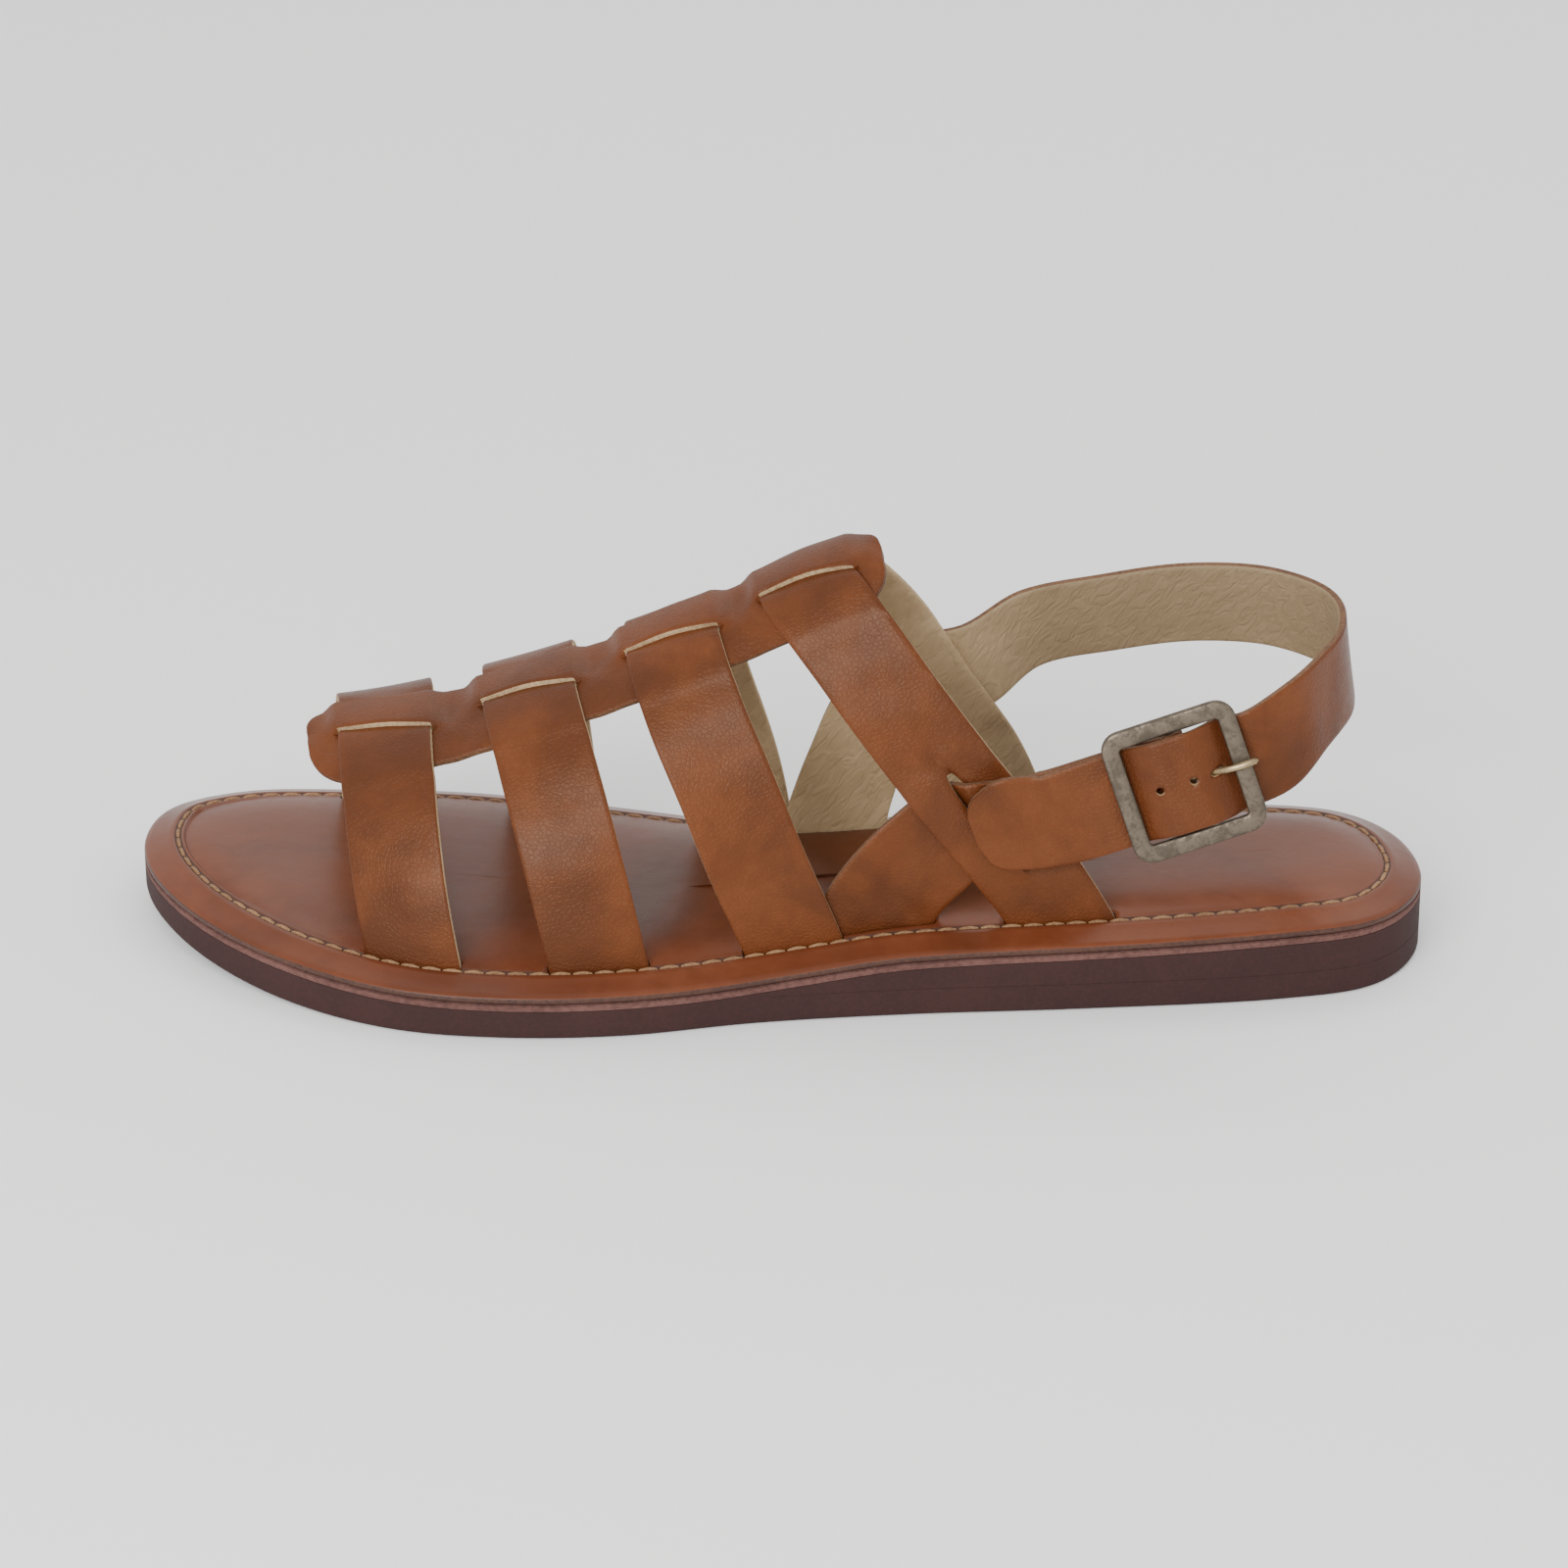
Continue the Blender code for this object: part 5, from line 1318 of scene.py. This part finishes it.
@dataclass
class HeelStraps:
    """Outer quarter strap with the buckle, and the long strap round the heel."""

    finishes: Finishes
    step: float = 0.0013
    climb: float = 0.030
    tip_shares: tuple[float, ...] = (0.0, 0.012, 0.04, 0.10, 0.2, 0.38, 0.68, 1.0)
    buckle_marks: tuple[float, ...] = (-0.0094, -0.0064, -0.0025, 0.0025, 0.0064, 0.0094)

    def ribbon(self, name: str, line: list[tuple[float, float]], widths: list[float] | None,
               square: tuple[float, float]) -> Thing:
        """Strap along the quarter path.

        Args:
            name: Name of the piece.
            line: Rows of distance along the path and height over it.
            widths: Share of the width at each row, or none for the full width.
            square: Stretch of the path where the strap is held square to it.

        Returns:
            The new object.
        """
        middle = []
        for n, (at, height) in enumerate(line):
            centre, width, half, outward = PATH.row(at, square[0] < at < square[1])
            reach = half * (widths[n] if widths else 1.0)
            extra = folds(name, np.full(len(ACROSS), at), ACROSS * reach)
            middle.append([centre + outward * (height + lift) + width * reach * share
                           for share, lift in zip(ACROSS, extra)])
        grid = np.array(middle)
        outward = unit(np.cross(np.gradient(grid, axis=0), np.gradient(grid, axis=1)))
        return Sheet(name, grid[:, ::-1], outward[:, ::-1], self.finishes.burnished).thing

    def heel_strap(self) -> Thing:
        """Long strap from the inner slot round the heel to its rounded free end."""
        start = (PATH.outer_crossing[2] + PATH.outer_crossing[3]) / 2 - B.past_slit
        crossing = PATH.inner_crossing
        marks = [start + B.tip_radius * share for share in self.tip_shares]
        marks += [PATH.buckle + extra for extra in self.buckle_marks]
        marks += list(crossing) + [PATH.length]
        hump = Curve(BILLET_HUMP)
        line, widths = [], []
        for at in spread(marks, self.step):
            height = float(hump(np.clip(at - PATH.buckle, BILLET_HUMP[0][0], BILLET_HUMP[-1][0]))[0])
            height += S.outside * float(ease(at, crossing[0] - self.climb, crossing[0]))
            height += (S.inside - S.outside) * float(ramp(at, crossing[2], crossing[3]))
            height += (-S.ply - S.inside) * float(ease(at, crossing[5], PATH.length))
            line.append((float(at), height))
            widths.append(1 - end_loss((at - start) / B.tip_radius) * B.tip_radius / S.half)
        return self.ribbon("heel_strap", line, widths, (0.0, PATH.buckle))

    def buckle_strap(self) -> Thing:
        """Short strap through the outer slit, folded back round the buckle's bar."""
        crossing = PATH.outer_crossing
        line = []
        for at in spread([0.0005] + list(crossing) + [PATH.buckle + FOLD_OUT[0][0]], self.step)[:-1]:
            height = -S.ply + (S.inside + S.ply) * float(ease(at, 0.0, crossing[0]))
            height += (S.outside - S.inside) * float(ramp(at, crossing[2], crossing[3]))
            line.append((float(at), height))
        keys = [tuple(row) for row in FOLD_OUT]
        radius = B.bar_radius + S.gap + S.leather / 2
        for turn in np.radians(np.linspace(118, -90, 17)):
            keys.append((radius * math.cos(turn), B.bar_level + radius * math.sin(turn)))
        keys += [tuple(row) for row in FOLD_BACK]
        line += [(PATH.buckle + along, height) for along, height in keys]
        return self.ribbon("buckle_strap", line, None, (crossing[-1] + 0.001, PATH.length))

    def build(self) -> None:
        """Build both straps and punch the pin's hole and the two free holes."""
        heel = self.heel_strap()
        raw = [self.finishes.raw]
        tools = [Buckle.plug(along, 0.0, B.hole_radius, B.hole_low, B.hole_high, raw) for along in B.holes]
        tools.append(Buckle.plug(B.pin_hole, B.pin_hole_long, B.pin_hole_radius, B.pin_hole_low,
                                 B.pin_hole_high, raw))
        Model.cut(heel, [Model.join(tools, "holes")])
        stand_for(heel, "heel_strap")
        stand_for(self.buckle_strap(), "buckle_strap")


@dataclass
class Buckle:
    """Antique frame with a lower centre bar, and its pin."""

    finishes: Finishes
    loop_steps: int = 9
    profile_steps: int = 20
    round_steps: int = 16
    post_steps: int = 12
    hole_steps: int = 24
    pin_steps: int = 32
    crown_flat: float = 0.42
    crown_up: float = 0.55
    post_inset: float = 0.0014
    bar_sink: float = 0.0008

    @staticmethod
    def point(along: float, height: float, across: float) -> np.ndarray:
        """Point in the buckle's own frame: along the strap, out from it and across it."""
        centre, width, _, outward = PATH.row(PATH.buckle)
        return centre + unit(np.cross(width, outward)) * along + outward * height + width * across

    @staticmethod
    def plug(along: float, long: float, half: float, low: float, high: float,
             materials: Materials) -> Thing:
        """Oval post for a punched hole.

        Args:
            along: Place of the middle along the strap.
            long: Half length of its straight part.
            half: Radius of its ends.
            low: Height of its lower end.
            high: Height of its upper end.
            materials: Materials of the hole's wall.

        Returns:
            The new object.
        """
        rings = []
        for height in (low, high):
            ring = []
            for turn in turns_round(Buckle.hole_steps):
                cos, sin = math.cos(turn), math.sin(turn)
                ring.append(Buckle.point(along + math.copysign(long, cos) + half * cos, height, half * sin))
            rings.append(np.array(ring))
        return Model.rings("hole", rings, materials)

    def loop(self, long: float, tall: float, radius: float) -> np.ndarray:
        """Rounded rectangle as (along, across) rows."""
        rows = []
        for n, (a, b) in enumerate(((1, 1), (-1, 1), (-1, -1), (1, -1))):
            for turn in np.radians(np.linspace(90 * n, 90 * n + 90, self.loop_steps)):
                rows.append((a * (long - radius) + radius * math.cos(turn),
                             b * (tall - radius) + radius * math.sin(turn)))
        return np.array(rows)

    def frame(self) -> Thing:
        """Crowned frame with soft edges, its centre bar and two posts."""
        outer = self.loop(B.long / 2, B.tall / 2, B.corner)
        inner = self.loop(B.long / 2 - B.bar, B.tall / 2 - B.bar, B.inner_corner)
        rings = []
        for turn in turns_round(self.profile_steps):
            cos, sin = math.cos(turn), math.sin(turn)
            share = 0.5 - 0.5 * math.copysign(abs(cos) ** self.crown_flat, cos)
            height = 0.5 * B.thick * math.copysign(abs(sin) ** self.crown_up, sin)
            flat = outer * (1 - share) + inner * share
            rings.append(np.array([self.point(a, B.level + height, b) for a, b in flat]))
        things = [Model.rings("frame", rings[::-1], [self.finishes.pewter], closed=True, sharp=70.0)]
        side = B.tall / 2 - B.bar + self.post_inset
        spokes = [B.bar_radius * np.array((math.cos(t), math.sin(t))) for t in turns_round(self.round_steps)]
        bar = [np.array([self.point(a, B.bar_level + h, across) for a, h in spokes])
               for across in np.linspace(-side - self.bar_sink, side + self.bar_sink, 9)]
        things.append(Model.rings("bar", bar, [self.finishes.pewter]))
        turns = turns_round(self.post_steps)
        spokes = [(B.post_long * math.cos(t), B.post_wide * math.sin(t)) for t in turns]
        for sign in (1, -1):
            post = [np.array([self.point(a, height, sign * side + b) for a, b in spokes])
                    for height in (B.bar_level - B.bar_radius, B.level)]
            things.append(Model.rings("post", post, [self.finishes.pewter]))
        return Model.join(things, "buckle_frame_cast")

    def pin(self) -> Thing:
        """Round pin from its ring on the bar, through the strap, to the frame."""
        rows = [(B.ring * math.cos(turn), B.bar_level + B.ring * math.sin(turn), 1.0)
                for turn in np.radians(range(350, 90, -13))]
        shaft = np.array(PIN_SHAFT)
        places = np.linspace(0.0, shaft[-1, 0], self.pin_steps)
        rows += [(along, B.bar_level + height, share)
                 for along, (height, share) in zip(places, Curve(shaft)(places))]
        path = np.array(rows)
        ahead = unit(np.gradient(path[:, :2], axis=0))
        rings = []
        for (along, height, share), (step, rise) in zip(path, ahead):
            ring = []
            for turn in turns_round(self.round_steps):
                lift, across = B.pin_radius * share * math.cos(turn), B.pin_radius * share * math.sin(turn)
                ring.append(self.point(along - rise * lift, height + step * lift, across))
            rings.append(np.array(ring))
        return Model.rings("buckle_pin_wire", rings, [self.finishes.brass])

    def build(self) -> None:
        """Build the frame and the pin."""
        stand_for(self.frame(), "buckle_frame")
        stand_for(self.pin(), "buckle_pin")


@dataclass
class Studio:
    """Camera, soft lights and a pale floor."""

    finishes: Finishes
    azimuth: float = 184.5
    elevation: float = 25.5
    distance: float = 1.25
    target: Triple = (-0.00255, 0.0, 0.040)
    lens: float = 127.9
    floor_half: float = 3.0
    sky: float = 1.2
    lights: tuple[tuple[str, Triple, tuple[float, float], float], ...] = (
        ("key", (0.35, 1.15, 0.68), (0.8, 0.6), 17.0),
        ("back", (-0.10, -0.90, 1.35), (1.4, 0.6), 4.0),
        ("side", (-1.1, 0.35, 0.70), (0.6, 0.8), 1.5),
    )

    def camera(self) -> None:
        """Camera at the photograph's angle."""
        a, e = math.radians(self.azimuth), math.radians(self.elevation)
        back = Vector((math.sin(a) * math.cos(e), -math.cos(a) * math.cos(e), math.sin(e)))
        data = bpy.data.cameras.new("camera")
        data.lens = self.lens
        data.sensor_width = 36.0
        data.clip_end = 50.0
        camera = linked("camera", data)
        camera.location = Vector(self.target) + back * self.distance
        camera.rotation_euler = back.to_track_quat("Z", "Y").to_euler()
        bpy.context.scene.camera = camera

    @staticmethod
    def light(name: str, place: Triple, size: tuple[float, float], power: float) -> None:
        """Soft rectangular light aimed at the shoe."""
        data = bpy.data.lights.new(name, "AREA")
        data.shape = "RECTANGLE"
        data.size, data.size_y = size
        data.energy = power
        lamp = linked(name, data)
        lamp.location = place
        lamp.rotation_euler = Vector(place).to_track_quat("Z", "Y").to_euler()

    def build(self) -> None:
        """Set up camera, world, lights and floor."""
        self.camera()
        world = bpy.data.worlds.new("studio")
        world.use_nodes = True
        sky = world.node_tree.nodes["Background"]
        sky.inputs["Color"].default_value = (1.0, 1.0, 1.0, 1.0)
        sky.inputs["Strength"].default_value = self.sky
        bpy.context.scene.world = world
        for light in self.lights:
            self.light(*light)
        mesh = bpy.data.meshes.new("floor")
        half = self.floor_half
        corners = [(-half, -half, 0.0), (half, -half, 0.0), (half, half, 0.0), (-half, half, 0.0)]
        mesh.from_pydata(corners, [], [(0, 1, 2, 3)])
        mesh.materials.append(self.finishes.floor)
        floor = linked("floor", mesh)


def main() -> None:
    """Build the scene piece by piece."""
    logging.basicConfig(level=logging.INFO, format="%(name)s: %(message)s")
    finishes = Finishes()
    for part in (Studio(finishes), Sole(finishes), Upper(finishes), HeelStraps(finishes), Buckle(finishes)):
        part.build()
        LOG.info("built %s", type(part).__name__)
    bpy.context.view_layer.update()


if __name__ == "__main__":
    main()
